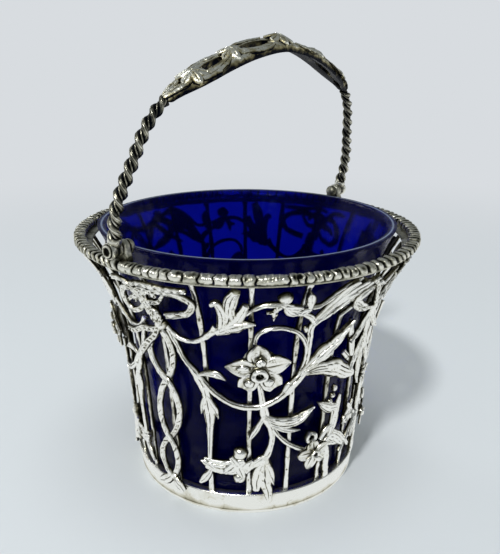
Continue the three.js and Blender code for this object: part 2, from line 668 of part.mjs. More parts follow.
// Openwork arch: two rails that meet at the ends, with scroll leaves and pads between them
const railShares = [[0.985, 0.12], [0.9, 0.42], [0.75, 0.72], [0.5, 0.84], [0.25, 0.86], [0, 0.86]];
const railPath = [...railShares.map(([a, b]) => [-a, b]), ...railShares.slice(0, -1).reverse()];
const archLow = -archThickness / 2;
const archHigh = archThickness / 2;
const archPieces = [-1, 1].map((hand) => {
  const inset = ((hand + 1) / 2) * vineStagger;
  const path = smooth(railPath.map(([a, b]) => [a, b * hand]), archSteps);
  return strip(archSheet, path, even(archRail), archLow + inset, archHigh - inset, flatSectionShares);
});
const archScrollShares = [[0.36, -0.86], [0.46, -0.3], [0.52, 0.3], [0.62, 0.84]];
const archScrollWidthShares = [0.5, 1, 0.5];
const archFlowerShares = [-0.775, 0, 0.775];
const padReachShare = 0.75;
const archEndShare = 0.84; // from here outwards the rails run together
const padInset = vineStagger * 4;
[-1, 1].forEach((end) => {
  [-1, 1].forEach((hand) => {
    const path = smooth(archScrollShares.map(([a, b]) => [a * end, b * hand]), archScrollShares.length);
    const width = spread(archLeafWidth, archScrollWidthShares);
    const inset = (hand > 0 ? 2 : 3) * vineStagger;
    archPieces.push(strip(archSheet, path, width, archLow + inset, archHigh - inset, ridgeSectionShares));
  });
});
const padPathShares = [
  ...[-1, 1].map((end) => [[end * archEndShare, 0], [end * (1 + archEndShare) / 2, 0], [end, 0]]),
  ...archFlowerShares.map((a) => [[a, -padReachShare], [a, 0], [a, padReachShare]]),
];
padPathShares.forEach((path) => {
  const [low, high] = [archLow + padInset, archHigh - padInset];
  archPieces.push(strip(archSheet, path, even(archLeafWidth), low, high, flatSectionShares));
});
named('handle_arch', join(archPieces), agedSilver, handle);

// Three flowers on the arch
const archPetalShares = [[0, 0.95], [1.26, 1], [2.51, 0.95], [3.77, 0.95], [5.03, 1]];
const archFlowerLow = archHigh + seat;
const archFlowerHigh = archFlowerLow + bloomThickness;
['near', 'middle', 'far'].forEach((end, i) => {
  const place = [archFlowerShares[i], 0];
  const bloom = flower(archSheet, place, archPetalShares, handleFlowerRadius, archFlowerLow, archFlowerHigh);
  named(`handle_flower_${end}`, bloom, agedSilver, handle);
});

export default basket;
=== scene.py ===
# Sugar basket of openwork silver with a swing handle and a cobalt glass liner.
# Shapes are worked out in millimetres on numpy grids, and go into metres as a mesh is made.
import math

import bpy
import numpy as np
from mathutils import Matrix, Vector


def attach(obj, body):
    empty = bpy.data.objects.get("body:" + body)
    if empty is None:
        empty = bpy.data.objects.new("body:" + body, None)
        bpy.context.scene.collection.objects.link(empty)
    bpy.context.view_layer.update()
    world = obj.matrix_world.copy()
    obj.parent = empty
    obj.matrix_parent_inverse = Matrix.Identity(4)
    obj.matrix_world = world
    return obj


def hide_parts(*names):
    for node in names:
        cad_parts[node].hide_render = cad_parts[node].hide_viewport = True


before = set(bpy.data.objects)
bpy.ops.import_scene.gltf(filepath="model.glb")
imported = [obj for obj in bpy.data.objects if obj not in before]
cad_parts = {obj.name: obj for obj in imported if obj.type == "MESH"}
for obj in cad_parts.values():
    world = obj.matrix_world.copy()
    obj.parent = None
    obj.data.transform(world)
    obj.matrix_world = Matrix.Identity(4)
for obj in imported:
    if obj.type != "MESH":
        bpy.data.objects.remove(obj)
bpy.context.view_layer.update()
print("frame loaded")

# camera

cameraView = dict(place=(-0.14206, -0.11795, 0.12185), turn=(71.184, -0.360, -50.440), lens=41.80)
lens = bpy.data.cameras.new("camera")
lens.lens, lens.sensor_width = cameraView["lens"], 36
lens.clip_start, lens.clip_end = 0.01, 20
camera = bpy.data.objects.new("camera", lens)
camera.location = cameraView["place"]
camera.rotation_euler = [math.radians(angle) for angle in cameraView["turn"]]
bpy.context.scene.collection.objects.link(camera)
bpy.context.scene.camera = camera

# materials


# sRGB hex to linear: c/12.92 below 0.04045, else ((c + 0.055)/1.055)^2.4
def linear(hexColour):
    c = np.array([int(hexColour[i:i + 2], 16) for i in (0, 2, 4)]) / 255
    return (*np.where(c < 0.04045, c / 12.92, ((c + 0.055) / 1.055) ** 2.4), 1.0)


# Adds a shader node and gives one of its outputs: settings are the node's own, sockets are values or the
# outputs that feed them
def addNode(tree, kind, sockets=None, out=0, **settings):
    made = tree.nodes.new("ShaderNode" + kind)
    for name, value in settings.items():
        setattr(made, name, value)
    for name, value in (sockets or {}).items():
        if isinstance(value, bpy.types.NodeSocket):
            tree.links.new(value, made.inputs[name])
        else:
            made.inputs[name].default_value = value
    return made.outputs[out] if len(made.outputs) else None


# Arithmetic node: the operation's result from its values
def calc(tree, operation, *values):
    return addNode(tree, "Math", dict(enumerate(values)), operation=operation)


# low + (high - low) * (value - start) / (end - start), kept between low and high
def mapped(tree, value, start, end, low=0.0, high=1.0, **settings):
    sockets = {"Value": value, "From Min": start, "From Max": end, "To Min": low, "To Max": high}
    return addNode(tree, "MapRange", sockets, **settings)


# Noise with its size in millimetres: scale = 1000 / size
def noise(tree, place, size, detail, **sockets):
    return addNode(tree, "TexNoise", {"Vector": place, "Scale": 1000 / size, "Detail": detail, **sockets})


# Material with an empty node tree
def newMaterial(name):
    made = bpy.data.materials.new(name)
    made.use_nodes = True
    made.node_tree.nodes.clear()
    return made, made.node_tree


# Silver that has been cast or wrought and then rubbed: bright on its raised parts, dark in the recesses from
# tarnish and painted shade. Patches and grain are given in millimetres, pits are dark specks of the casting,
# and recess (painted shade with tarnish) comes with the mesh. Colour follows tarnishAndShade = recess + pits
# + patches
def silverMaterial(name, look):
    made, tree = newMaterial(name)
    place = addNode(tree, "TexCoord", out="Object")
    patch = noise(tree, place, look["patchSize"], 4.0)
    grain = noise(tree, place, look["grainSize"], 5.0, Roughness=0.6)
    speck = noise(tree, place, look["pitSize"], 3.0, Roughness=0.65, Distortion=0.8)
    recess = addNode(tree, "Attribute", out="Fac", attribute_name="recess")
    pits = mapped(tree, speck, 0.56, 0.7, 0.0, look["pits"])
    cloud = mapped(tree, patch, 0.35, 0.7, -look["patches"], look["patches"])
    tarnishAndShade = calc(tree, "ADD", recess, calc(tree, "ADD", pits, cloud))
    # the ramp's darker stops give the painted shade and the tarnish of the recesses
    colour = addNode(tree, "ValToRGB", {"Fac": tarnishAndShade})
    stops = colour.node.color_ramp.elements
    stops[0].position, stops[0].color = look["places"][0], linear(look["colours"][0])
    stops[1].position, stops[1].color = look["places"][-1], linear(look["colours"][-1])
    for at, tone in zip(look["places"][1:-1], look["colours"][1:-1]):
        stops.new(at).color = linear(tone)
    rough = mapped(tree, tarnishAndShade, 0.1, 0.9, *look["roughness"])
    skin = calc(tree, "MULTIPLY_ADD", speck, -0.5, grain)
    bump = addNode(tree, "Bump", {"Height": skin, "Strength": look["bump"],
                                  "Distance": look["grainSize"] * 0.00014})
    shader = addNode(tree, "BsdfPrincipled", {"Base Color": colour, "Metallic": 1.0, "Roughness": rough,
                                              "Normal": bump})
    addNode(tree, "OutputMaterial", {"Surface": shader})
    return made


castSilver = silverMaterial("castSilverRubbed", dict(
    colours=["f8f8f2", "e2e1d5", "75715c", "12110c"], places=[0.26, 0.42, 0.62, 0.86],
    patchSize=7, patches=0.1, grainSize=1.8, pitSize=1.3, pits=0.34, roughness=(0.22, 0.5), bump=0.42))
plainSilver = silverMaterial("wroughtSilverPolished", dict(
    colours=["f5f5ee", "d9d5c3", "938e76", "2c2a21"], places=[0.2, 0.46, 0.78, 1.0],
    patchSize=7, patches=0.26, grainSize=2.4, pitSize=2.0, pits=0.25, roughness=(0.26, 0.5), bump=0.3))
rimSilver = silverMaterial("beadedSilverDulled", dict(
    colours=["ebeadf", "bdbcab", "5f5e4e", "10110f"], places=[0.16, 0.38, 0.6, 0.86],
    patchSize=4, patches=0.17, grainSize=1.4, pitSize=1.1, pits=0.26, roughness=(0.34, 0.55), bump=0.42))
# The handle's silvers run to navy-black: painted shade and painted dark reflection in their deep stops, with
# olive tarnish
tarnishedShadedSilver = silverMaterial("handleSilverTarnishedAndShaded", dict(
    colours=["ebebe0", "a8a593", "474840", "070b15"], places=[0.14, 0.38, 0.6, 0.84],
    patchSize=4, patches=0.15, grainSize=1.4, pitSize=1.2, pits=0.3, roughness=(0.25, 0.5), bump=0.5))
brownedSilver = silverMaterial("archSilverBrowned", dict(
    colours=["f3f3e6", "b8b08a", "5f593f", "050a18"], places=[0.15, 0.4, 0.62, 0.84],
    patchSize=3, patches=0.26, grainSize=1.3, pitSize=1.1, pits=0.3, roughness=(0.32, 0.58), bump=0.6))


# Blown glass coloured through: each wall that light crosses tints it by the base colour. Its lip is ground,
# which shows as a pale line where the radius is near groundRadius and the height is above groundHeight
def glassMaterial(name, look):
    made, tree = newMaterial(name)
    place = addNode(tree, "TexCoord", out="Object")
    swirl = noise(tree, place, look["swirlSize"], 2.0)
    tint = addNode(tree, "MixRGB", {"Fac": swirl, "Color1": linear(look["deep"]),
                                    "Color2": linear(look["clear"])})
    bump = addNode(tree, "Bump", {"Height": swirl, "Strength": look["bump"], "Distance": 0.0013})
    flat = addNode(tree, "VectorMath", {0: place, 1: (1.0, 1.0, 0.0)}, operation="MULTIPLY")
    radius = addNode(tree, "VectorMath", {0: flat}, out="Value", operation="LENGTH")
    off = calc(tree, "ABSOLUTE", calc(tree, "SUBTRACT", radius, look["groundRadius"]))
    height = addNode(tree, "SeparateXYZ", {0: place}, out="Z")
    ground = calc(tree, "MULTIPLY", mapped(tree, off, *look["groundWidth"], 1.0, 0.0),
                  mapped(tree, height, *look["groundHeight"]))
    tint = addNode(tree, "MixRGB", {"Fac": ground, "Color1": tint, "Color2": linear(look["ground"])})
    clear = calc(tree, "MULTIPLY_ADD", ground, -0.7, 0.93)
    shader = addNode(tree, "BsdfPrincipled", {
        "Base Color": tint, "Roughness": look["roughness"], "IOR": look["ior"], "Transmission Weight": clear,
        "Coat Weight": look["coat"], "Coat Roughness": 0.02, "Specular Tint": linear(look["sheen"]),
        "Normal": bump})
    addNode(tree, "OutputMaterial", {"Surface": shader})
    return made


cobaltGlass = glassMaterial("cobaltGlassBlown", dict(
    deep="02066e", clear="040c8c", sheen="0c1a40", swirlSize=9, bump=1.0, roughness=0.27, ior=1.25, coat=0.03,
    ground="7a879c", groundRadius=0.04195, groundWidth=(0.0001, 0.0005), groundHeight=(0.0773, 0.07745)))
print("materials made")

# meshes

fullTurn = 2 * np.pi


# Value kept between 0 and 1
def held(value):
    return np.clip(value, 0, 1)


# Smooth value at a share of the way through a list. Between b and c, with their neighbours a and d:
# (2b + (c - a)f + (2a - 5b + 4c - d)f^2 + (3b - a - 3c + d)f^3) / 2
def through(values, share):
    p = np.asarray(values, float)
    ends = np.concatenate([[2 * p[0] - p[1]], p, [2 * p[-1] - p[-2]]])
    t = held(np.asarray(share, float)) * (len(p) - 1)
    i = np.minimum(t.astype(int), len(p) - 2)
    f = (t - i).reshape(t.shape + (1,) * (p.ndim - 1))
    a, b, c, d = ends[i], ends[i + 1], ends[i + 2], ends[i + 3]
    return (2 * b + (c - a) * f + (2 * a - 5 * b + 4 * c - d) * f ** 2 + (3 * b - a - 3 * c + d) * f ** 3) / 2


# Points at even steps along the smooth line through some places of a sheet
def route(sheet, places, step):
    dense = through(places, np.linspace(0, 1, 40 * len(places)))
    solid = sheet(dense[:, 0], dense[:, 1], 0 * dense[:, 0])
    run = np.concatenate([[0], np.cumsum(np.linalg.norm(np.diff(solid, axis=0), axis=1))])
    want = np.linspace(0, run[-1], max(int(run[-1] / step), 4) + 1)
    return np.stack([np.interp(want, run, dense[:, 0]), np.interp(want, run, dense[:, 1])], 1)


# Turns of a ring's points: 2 pi * k / sides
def around(sides):
    return np.linspace(0, fullTurn, sides, endpoint=False)


# A shell is a grid of points whose rows are closed rings, with a recess value (painted shade with tarnish)
# for each point
def shell(grid, recess, looped=False):
    return dict(grid=grid, recess=np.broadcast_to(recess, grid.shape[:2]), looped=looped)


# Faces of a shell: quads between rings, a fan at each open end, turned outwards by the sign of the volume
def shellFaces(part):
    n, m = part["grid"].shape[:2]
    points = part["grid"].reshape(-1, 3)
    recess = part["recess"].reshape(-1)
    i = np.arange(n if part["looped"] else n - 1)[:, None]
    j = np.arange(m)[None, :]
    a, b = i * m + j, i * m + (j + 1) % m
    d, c = (i + 1) % n * m + j, (i + 1) % n * m + (j + 1) % m
    quads = np.stack([a, b, c, d], -1).reshape(-1, 4)
    fans = np.zeros((0, 3), int)
    if not part["looped"]:
        k = np.arange(m)
        points = np.vstack([points, part["grid"][0].mean(0), part["grid"][-1].mean(0)])
        recess = np.concatenate([recess, [part["recess"][0].mean(), part["recess"][-1].mean()]])
        start = np.stack([np.full(m, n * m), (k + 1) % m, k], 1)
        end = np.stack([np.full(m, n * m + 1), (n - 1) * m + k, (n - 1) * m + (k + 1) % m], 1)
        fans = np.vstack([start, end])
    p = points[np.vstack([quads[:, :3], quads[:, [0, 2, 3]], fans])]
    if np.einsum("ij,ij->i", p[:, 0], np.cross(p[:, 1], p[:, 2])).sum() < 0:
        quads, fans = quads[:, ::-1], fans[:, ::-1]
    return points, recess, quads, fans


# One piece from its shells: it stands at the origin, rides on its body and stands for its nodes.
# Edges sharper than crease degrees stay sharp
def makePiece(name, shells, material, body, nodes, crease=42):
    points, recess, faces, start = [], [], [], 0
    for part in shells:
        p, r, quads, fans = shellFaces(part)
        points.append(p)
        recess.append(r)
        faces += (quads + start).tolist() + (fans + start).tolist()
        start += len(p)
    mesh = bpy.data.meshes.new(name)
    mesh.from_pydata((np.vstack(points) / 1000).tolist(), [], faces)
    # recess goes on each point as painted shade with tarnish, for the silver to darken by
    values = held(np.concatenate(recess)).astype(np.float32)
    mesh.attributes.new("recess", "FLOAT", "POINT").data.foreach_set("value", values)
    mesh.shade_smooth()
    mesh.set_sharp_from_angle(angle=math.radians(crease))
    mesh.materials.append(material)
    piece = bpy.data.objects.new(name, mesh)
    bpy.context.scene.collection.objects.link(piece)
    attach(piece, body)
    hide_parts(*nodes)


# Pieces of the basket and of the handle, each for one node
def basketPiece(name, shells, node, material=castSilver, crease=42):
    makePiece(name, shells, material, "basket", [node], crease)


def handlePiece(name, shells, node, material=brownedSilver, crease=42):
    makePiece(name, shells, material, "handle", [node], crease)


# Turned shape about Z: every profile point goes round in even steps, [radius * cos(turn), radius * sin(turn),
# height]
def turned(profile, recess=0.0, sides=144, looped=False):
    p, turn = np.asarray(profile, float), around(sides)
    grid = np.stack([p[:, :1] * np.cos(turn), p[:, :1] * np.sin(turn), np.repeat(p[:, 1:], sides, 1)], -1)
    return shell(grid, np.asarray(recess, float).reshape(-1, 1), looped)


# The same shape laid along X from a height, for pins and eyes: [radius, distance along X]
def turnedAlongX(profile, height, recess, sides=40):
    made = turned(profile, recess, sides)
    g = made["grid"]
    made["grid"] = np.stack([g[..., 2], g[..., 0], g[..., 1] + height], -1)
    return made


# Closed list of corners with each corner rounded: three points on a curve from side to side
def rounded(corners, radius):
    p = np.asarray(corners, float)
    out = []
    for at, back, on in zip(p, np.roll(p, 1, 0), np.roll(p, -1, 0)):
        toBack, toOn = back - at, on - at
        lengths = np.linalg.norm(toBack), np.linalg.norm(toOn)
        reach = min(radius, lengths[0] / 2.2, lengths[1] / 2.2)
        start, end = at + toBack / lengths[0] * reach, at + toOn / lengths[1] * reach
        out += [start, (start + 2 * at + end) / 4 * 0.9 + (start + end) / 2 * 0.1, end]
    return np.array(out)


# Narrow bump that falls from 1 at nothing to 1/e at a width: e^-(value / width)^2
def bell(value, width):
    return np.exp(-(value / width) ** 2)


# Recess of a strip, which is painted shade with tarnish: a little for being low, much for lying under the
# mean of the points around it, where shade falls in its hollows, and some at its edges by |v|^6 as painted
# dark outlines
def hollows(rise, across):
    top = rise[:, :across]
    near = np.pad(top, 2, mode="edge")
    mean = sum(near[2 + i:2 + i + top.shape[0], 2 + j:2 + j + across]
               for i in (-2, 0, 2) for j in (-2, -1, 0, 1, 2)) / 15
    high = top.max() + 1e-6
    edge = np.abs(np.linspace(-1, 1, across)) ** 6
    made = np.ones_like(rise)
    made[:, :across] = 0.12 + 0.5 * held(1 - top / high) ** 1.6 + 4.0 * held(mean - top) / high + 0.42 * edge
    return held(made)


# Unevenness of hand work at lengths in millimetres: 0.5 sin(0.9x + a) + 0.3 sin(1.9x + b) + 0.2 sin(3.7x + c)
def uneven(lengths, seed):
    a, b, c = np.random.RandomState(int(seed) % 99991).rand(3) * 2 * np.pi
    return 0.5 * np.sin(0.9 * lengths + a) + 0.3 * np.sin(1.9 * lengths + b) + 0.2 * np.sin(3.7 * lengths + c)


# Millimetres on a sheet for one step of each of its two numbers: |sheet(a + nudge) - sheet(a)| / nudge
def stepsOn(sheet, a, b, nudge=0.01):
    here = sheet(a, b, 0 * a)
    return [np.linalg.norm(there - here, axis=-1) / nudge
            for there in (sheet(a + nudge, b, 0 * a), sheet(a, b + nudge, 0 * a))]


# Half width along a strip, from its full widths. A leaf's lobes widen towards the tip and are cut back:
# width * (1 - depth * |1 - 1.6 saw|^1.5)
def widths(values, lobes=0, depth=0.0):
    def half(u):
        saw = (u * lobes) % 1.0
        return through(np.asarray(values) / 2, u) * (1 - depth * np.abs(1 - 1.6 * saw) ** 1.5 * (u > 0.12))
    return half


underside = 5  # points across the flat underside of a strip


# Strip of casting on a sheet, through some places in even steps, or at each place where step is None. Its
# path is at v = 0, and v runs from -1 to 1 across the half width. Values are full widths, or a function for
# the half width. point = sheet(path + normal * v * halfWidth(u), low + relief(u, v)), flat underneath
def castStrip(sheet, places, values, relief, low=0.1, step=0.4, across=11, floorDark=0.76, wild=1.0):
    path = route(sheet, places, step) if step else places
    halfWidth = values if callable(values) else widths(values)
    a, b = path[:, 0], path[:, 1]
    perA, perB = stepsOn(sheet, a, b)
    run = np.gradient(path, axis=0)
    runA, runB = run[:, 0] * perA, run[:, 1] * perB
    length = np.hypot(runA, runB)
    along = np.cumsum(length) - length[0]
    u = along / along[-1]
    x = along[:, None]
    v = np.concatenate([np.linspace(-1, 1, across), np.linspace(1, -1, underside)])[None, :]
    seed = abs(a[0] * 173 + b[0] * 61 + b[-1] * 19)
    isTop = (np.arange(v.size) < across)[None, :]
    nudged = wild * (0.09 * uneven(x, seed) + 0.05 * v * uneven(x * 1.3, seed + 7))
    offset = halfWidth(u)[:, None] * v * (1 + nudged)
    knocks = 0.09 * uneven(x * 1.7, seed + 3) + 0.06 * uneven(x * 2.3 + 2.5 * v, seed + 5)
    rise = relief(u[:, None], v) * (1 + wild * knocks)
    floor = (np.zeros_like(u) + (low(u) if callable(low) else low))[:, None]
    grid = sheet(a[:, None] - (runB / length / perA)[:, None] * offset,
                 b[:, None] + (runA / length / perB)[:, None] * offset, np.where(isTop, floor + rise, floor))
    # the top takes painted shade with tarnish from hollows, and the underside takes floorDark as painted
    # shade
    return shell(grid, np.where(isTop, hollows(rise, across), floorDark))


# Stem: height * (0.3 + 0.7 (1 - v^4)^0.5) with knocks along it, and perhaps a narrow groove at v = 0.25
def stemRelief(height, groove, knocks, seed):
    def relief(u, v):
        crown = height * (0.3 + 0.7 * np.sqrt(held(1 - v ** 4)))
        crown = crown - groove * height * bell(v - 0.25, 0.15)
        return crown + knocks * height * np.sin(u * 37 + seed * 5) * np.sin(u * 19 + v * 2 + seed)
    return relief


# Leaf: domed from edge to edge and cut by narrow wandering flutes. With t = flutes * v + 0.12 sin(6u + seed),
# a flute is e^-(sin(pi * t + sweep * (1 - u)) / 0.26)^2 deep, and some are shallower than others
def leafRelief(height, flutes=1, sweep=0.6, cut=0.5, curl=0.0, seed=0.0):
    def relief(u, v):
        side = np.abs(v)
        dome = 0.4 + 0.6 * (1 - side ** 3)
        wander = flutes * v + 0.12 * np.sin(6 * u + seed) + 0.06 * np.sin(15 * u + 2 * seed)
        line = bell(np.sin(np.pi * wander + sweep * (1 - u) * np.sign(v)), 0.26)
        line = line * (0.76 + 0.24 * np.sin(2.1 * np.round(wander) + 1.5 * u + seed * 3))
        fade = held(u / 0.1) * held((1.02 - u) / 0.16) * held((1 - side) / 0.12)
        swell = 0.07 * np.sin(np.pi * flutes * v + seed) * np.sin(5 * u + seed)
        return height * np.clip(dome - cut * line * fade + swell, 0.1, 1.5) + curl * u ** 2
    return relief


# Ribbon: flat with raised edges, height * (0.72 + edge * e^-((|v| - 0.66) / 0.2)^2), less short nicks
# across it and with a slightly uneven thickness
def ribbonRelief(height, nicks, edge, seed):
    def relief(u, v):
        side = np.abs(v)
        flat = height * (0.72 + edge * bell(side - 0.66, 0.2))
        fall = held((1 - side) / 0.2) ** 0.6
        nick = bell(np.sin(np.pi * (nicks * u + 0.35 * v + seed)), 0.2)
        where = 0.5 + 0.5 * np.sin(u * 29 + seed * 9)
        bumps = 0.08 * height * np.sin(u * 47 + v * 2 + seed)
        return np.maximum(flat * (0.3 + 0.7 * fall) - 0.3 * height * nick * where ** 2 + bumps, 0.08)
    return relief


# Petal: dished between a midrib and a raised edge, (1 - cup) + cup * (|v| / 0.8)^2.2, with fine lines on it
def petalRelief(height, cup):
    def relief(u, v):
        side = np.abs(v)
        dish = (1 - cup) + cup * held(side / 0.8) ** 2.2 * (1 - 0.25 * u)
        lines = 0.34 * bell(np.sin(1.5 * np.pi * v + 0.4 + 0.5 * u), 0.2)
        lines = lines * held(0.9 - u) * (1 - side ** 4)
        edge = held((1 - side) / 0.1) ** 0.5
        return height * np.clip((dish + 0.1 * bell(v, 0.12) - lines) * (0.3 + 0.7 * edge), 0.1, 1.3)
    return relief


# Turned boss on a sheet: profile [radius, lift] goes round its place, at radius * cos(turn) one way and
# radius * sin(turn) the other, each times its stretch. Dark is a recess for each profile point, or else
# follows how low the point lies: painted shade at its foot, and more painted shade along its crease
def boss(sheet, place, profile, sides=24, stretch=(1.0, 1.0), tilt=0.0, dark=None):
    perA, perB = stepsOn(sheet, *place)
    p, turn = np.asarray(profile, float), around(sides)
    r, lift = p[:, :1], p[:, 1:]
    lump = 1 + 0.05 * np.sin(3 * turn + place[0]) + 0.04 * np.sin(5 * turn + place[1])
    x, y = r * np.cos(turn) * stretch[0] * lump, r * np.sin(turn) * stretch[1] * lump
    c, s = math.cos(tilt), math.sin(tilt)
    base = lift.min()
    crease = bell(np.sin(turn - 0.6 * place[1]), 0.24) * (r / r.max()) ** 0.7
    grid = sheet(place[0] + (x * c - y * s) / perA, place[1] + (x * s + y * c) / perB,
                 lift - crease * 0.22 * (lift - base))
    low = held(1.1 - (lift - base) / (lift.max() - base + 1e-9))
    deep = low if dark is None else np.array(dark)[:, None]
    return shell(grid, held(deep + 0.3 * crease))


domeSteps = 7


# Profile of a dome: [radius * cos(t), low + (high - low) * sin(t)], with t up to nearly a quarter turn
def domeProfile(radius, low, high):
    t = np.linspace(0, np.pi / 2 * 0.96, domeSteps)
    return np.stack([radius * np.cos(t), low + (high - low) * np.sin(t)], 1)


# Profile of a hollow ring boss: up the outside, over the lip, down into the hole
def ringProfile(radius, hole, low, high):
    tall = high - low
    return [(radius * 0.9, low), (radius, low + tall * 0.5), (radius * 0.93, low + tall * 0.85),
            ((radius + hole) / 2, high), (hole * 1.06, low + tall * 0.8), (hole, low + tall * 0.3),
            (hole * 0.4, low + tall * 0.22)]


# A ring or a bead that stands in a collar painted dark with shade, as [share of its radius, share of its
# height, recess]
collaredRing = [(1.16, 0, 1), (1.2, 0.52, 0.6), (1.12, 0.6, 0.7), (1.04, 0.56, 0.9), (1.0, 0.78, 0.4),
                (0.95, 0.93, 0.12), (0.82, 1, 0.05), (0.62, 1, 0.05), (0.5, 0.93, 0.2), (0.45, 0.7, 0.9),
                (0.42, 0.4, 1), (0.15, 0.35, 1)]
collaredBead = [(1.28, 0, 0.9), (1.32, 0.5, 0.6), (1.2, 0.6, 0.5), (1.07, 0.52, 0.85), (1.0, 0.7, 0.6),
                (0.88, 0.86, 0.15), (0.6, 0.97, 0.05), (0.15, 1, 0)]


# Boss of such a kind: [share * radius, low + rise * (high - low)]
def collaredBoss(sheet, place, kind, radius, low, high, stretch=(1.0, 1.0)):
    profile = [(share * radius, low + rise * (high - low)) for share, rise, _ in kind]
    return boss(sheet, place, profile, 26, stretch, dark=[step[2] for step in kind])


petalAcross = 15
petalShadeShare = np.ones(petalAcross + underside)
petalShadeShare[1:petalAcross - 1] = 0.85  # less painted shade on a petal's face than at its edges


# Flower: each petal is a strip from near the middle out to its tip, each a little over the last. Its path
# is at place + reach * [sin(turn + bend * share), cos(turn + bend * share)]
def flowerShells(sheet, place, petals, low, scale=1.0):
    perA, perB = stepsOn(sheet, *place)
    out = []
    for k, petal in enumerate(petals):
        reach = np.array([0.12, 0.4, 0.7, 1.0]) * petal["length"] * scale  # starts near the middle
        bend = math.radians(petal.get("bend", 0))
        angles = math.radians(petal["turn"]) + bend * np.array([0, 0.3, 0.7, 1.0])
        a, b = place[0] + np.sin(angles) * reach / perA, place[1] + np.cos(angles) * reach / perB
        shape = [petal["width"] * scale * share for share in petal["shape"]]
        base, rise = low + 0.2 * (k % 2) + 0.08 * (k % 3), petal.get("rise", 0.15)
        relief = (leafRelief(petal["dome"], cut=0.4, seed=k) if "dome" in petal
                  else petalRelief(petal.get("height", 0.75), petal["cup"]))
        strip = castStrip(sheet, np.stack([a, b], 1), shape, relief, lambda u: base + rise * u ** 1.5, 0.3,
                          petalAcross, floorDark=0.6, wild=0.25)
        strip["recess"] = strip["recess"] * petalShadeShare
        out.append(strip)
    return out


# Radius of a flared wall at a height: foot + taper * t + flare * t^power, with t = height / whole height
def flared(shape, z):
    t = np.maximum(z, 0) / shape["height"]
    return shape["foot"] + shape["taper"] * t + shape["flare"] * t ** shape["power"]


wall = dict(height=74.8, foot=33.5, taper=5.0, flare=9.65, power=5.5, barFoot=7.0, barTop=71.95)
panelTurn = 4.0  # degrees from the hinges to the bows


# Place on the wall: turn in degrees, height, and lift along the wall's own normal. Slope is the radius that
# one millimetre up adds: [radius + lift / (1 + slope^2)^0.5, z - lift * slope / (1 + slope^2)^0.5]
def onWall(turn, z, lift):
    t = np.maximum(z, 0) / wall["height"]
    slope = (wall["taper"] + wall["flare"] * wall["power"] * t ** (wall["power"] - 1)) / wall["height"]
    steep = np.sqrt(1 + slope ** 2)
    radius, angle = flared(wall, z) + lift / steep, np.radians(turn)
    up = z - lift * slope / steep
    return np.stack(np.broadcast_arrays(radius * np.cos(angle), radius * np.sin(angle), up), -1)


# The wall from an origin: turn = origin + hand * a, in degrees, and hand is -1 for a mirrored panel
def wallSheet(origin, hand=1):
    return lambda a, b, lift: onWall(origin + hand * a, b, lift)


# foot ring, plate, flange and glass: outlines are [radius, height]

footRing = dict(outline=[(34.0, 0), (34.1, 0.9), (34.02, 1.15), (34.3, 3.2), (34.65, 5.6), (34.9, 6.0),
                         (34.85, 6.55), (34.4, 6.7), (32.66, 6.7), (32.66, 5.7), (33.55, 5.7), (32.8, 0)],
                round=0.25, insideRadius=33.6, groove=1.1, grooveWidth=0.25)
footOutline = rounded(footRing["outline"], footRing["round"])
# painted shade on the inner face of the ring and in its groove
footDark = np.where(footOutline[:, 0] < footRing["insideRadius"], 0.7, 0.1)
footDark = footDark + bell(footOutline[:, 1] - footRing["groove"], footRing["grooveWidth"]) * 0.6
basketPiece("footRing", [turned(footOutline, footDark, 180, True)], "foot_ring", plainSilver, 35)

basePlate = dict(outline=[(4, 1.5), (20, 1.5), (32.6, 1.5), (32.7, 1.65), (32.7, 2.35), (32.6, 2.5),
                          (20, 2.5), (4, 2.5)], dark=0.35)
basketPiece("basePlate", [turned(basePlate["outline"], basePlate["dark"], 96)], "base_plate", plainSilver, 35)

# the flange is painted darker (dark), as shade under the border wire
flange = dict(outline=[(44.65, 72.3), (47.15, 72.3), (48.3, 72.7), (48.35, 73.15), (47.85, 73.3),
                       (44.65, 72.9)], round=0.18, dark=0.42)
flangeOutline = rounded(flange["outline"], flange["round"])
basketPiece("rimFlange", [turned(flangeOutline, flange["dark"], 180, True)], "rim_flange", rimSilver, 50)

# the glass flares like the wall: a rounded foot, the outside, the ground lip, the inside and the floor
glass = dict(foot=32.0, taper=3.9, flare=7.3, power=5, height=77.5, wallThick=2.2, base=2.8, floor=5.8,
             corner=1.6, steps=60)
g, top = glass, glass["height"]
cornerTurn = np.linspace(-np.pi / 2, 0, 6)
footCorner = np.stack([flared(g, g["base"]) - g["corner"] * (1 - np.cos(cornerTurn)),
                       g["base"] + g["corner"] * (1 + np.sin(cornerTurn))], 1)
heights = g["base"] + g["corner"] + (top - 0.25 - g["base"] - g["corner"]) * np.linspace(0.02, 1, g["steps"])
outside = np.stack([flared(g, heights), heights], 1)
lip = flared(g, top)
rimEdge = [(lip - 0.1, top - 0.12), (lip - 0.32, top), (lip - 1.1, top), (lip - g["wallThick"] + 0.5, top),
           (lip - g["wallThick"] + 0.15, top - 0.15)]
heights = (top - 0.3) + (g["floor"] + 3.0 - top + 0.3) * np.linspace(0, 1, g["steps"])
inside = np.stack([flared(g, heights) - g["wallThick"], heights], 1)
innerFloor = [(flared(g, 8) - 2.6, 7.3), (flared(g, 7) - 3.6, 6.4), (flared(g, 6) - 5.2, 5.95),
              (20, g["floor"]), (6, g["floor"])]
flatBase = [(6, g["base"]), (20, g["base"])]
glassOutline = np.vstack([flatBase, footCorner, outside, rimEdge, inside, innerFloor])
makePiece("glassLiner", [turned(glassOutline, 0.0, 192)], cobaltGlass, "liner", ["glass_liner"],
          38)
print("turned pieces made")

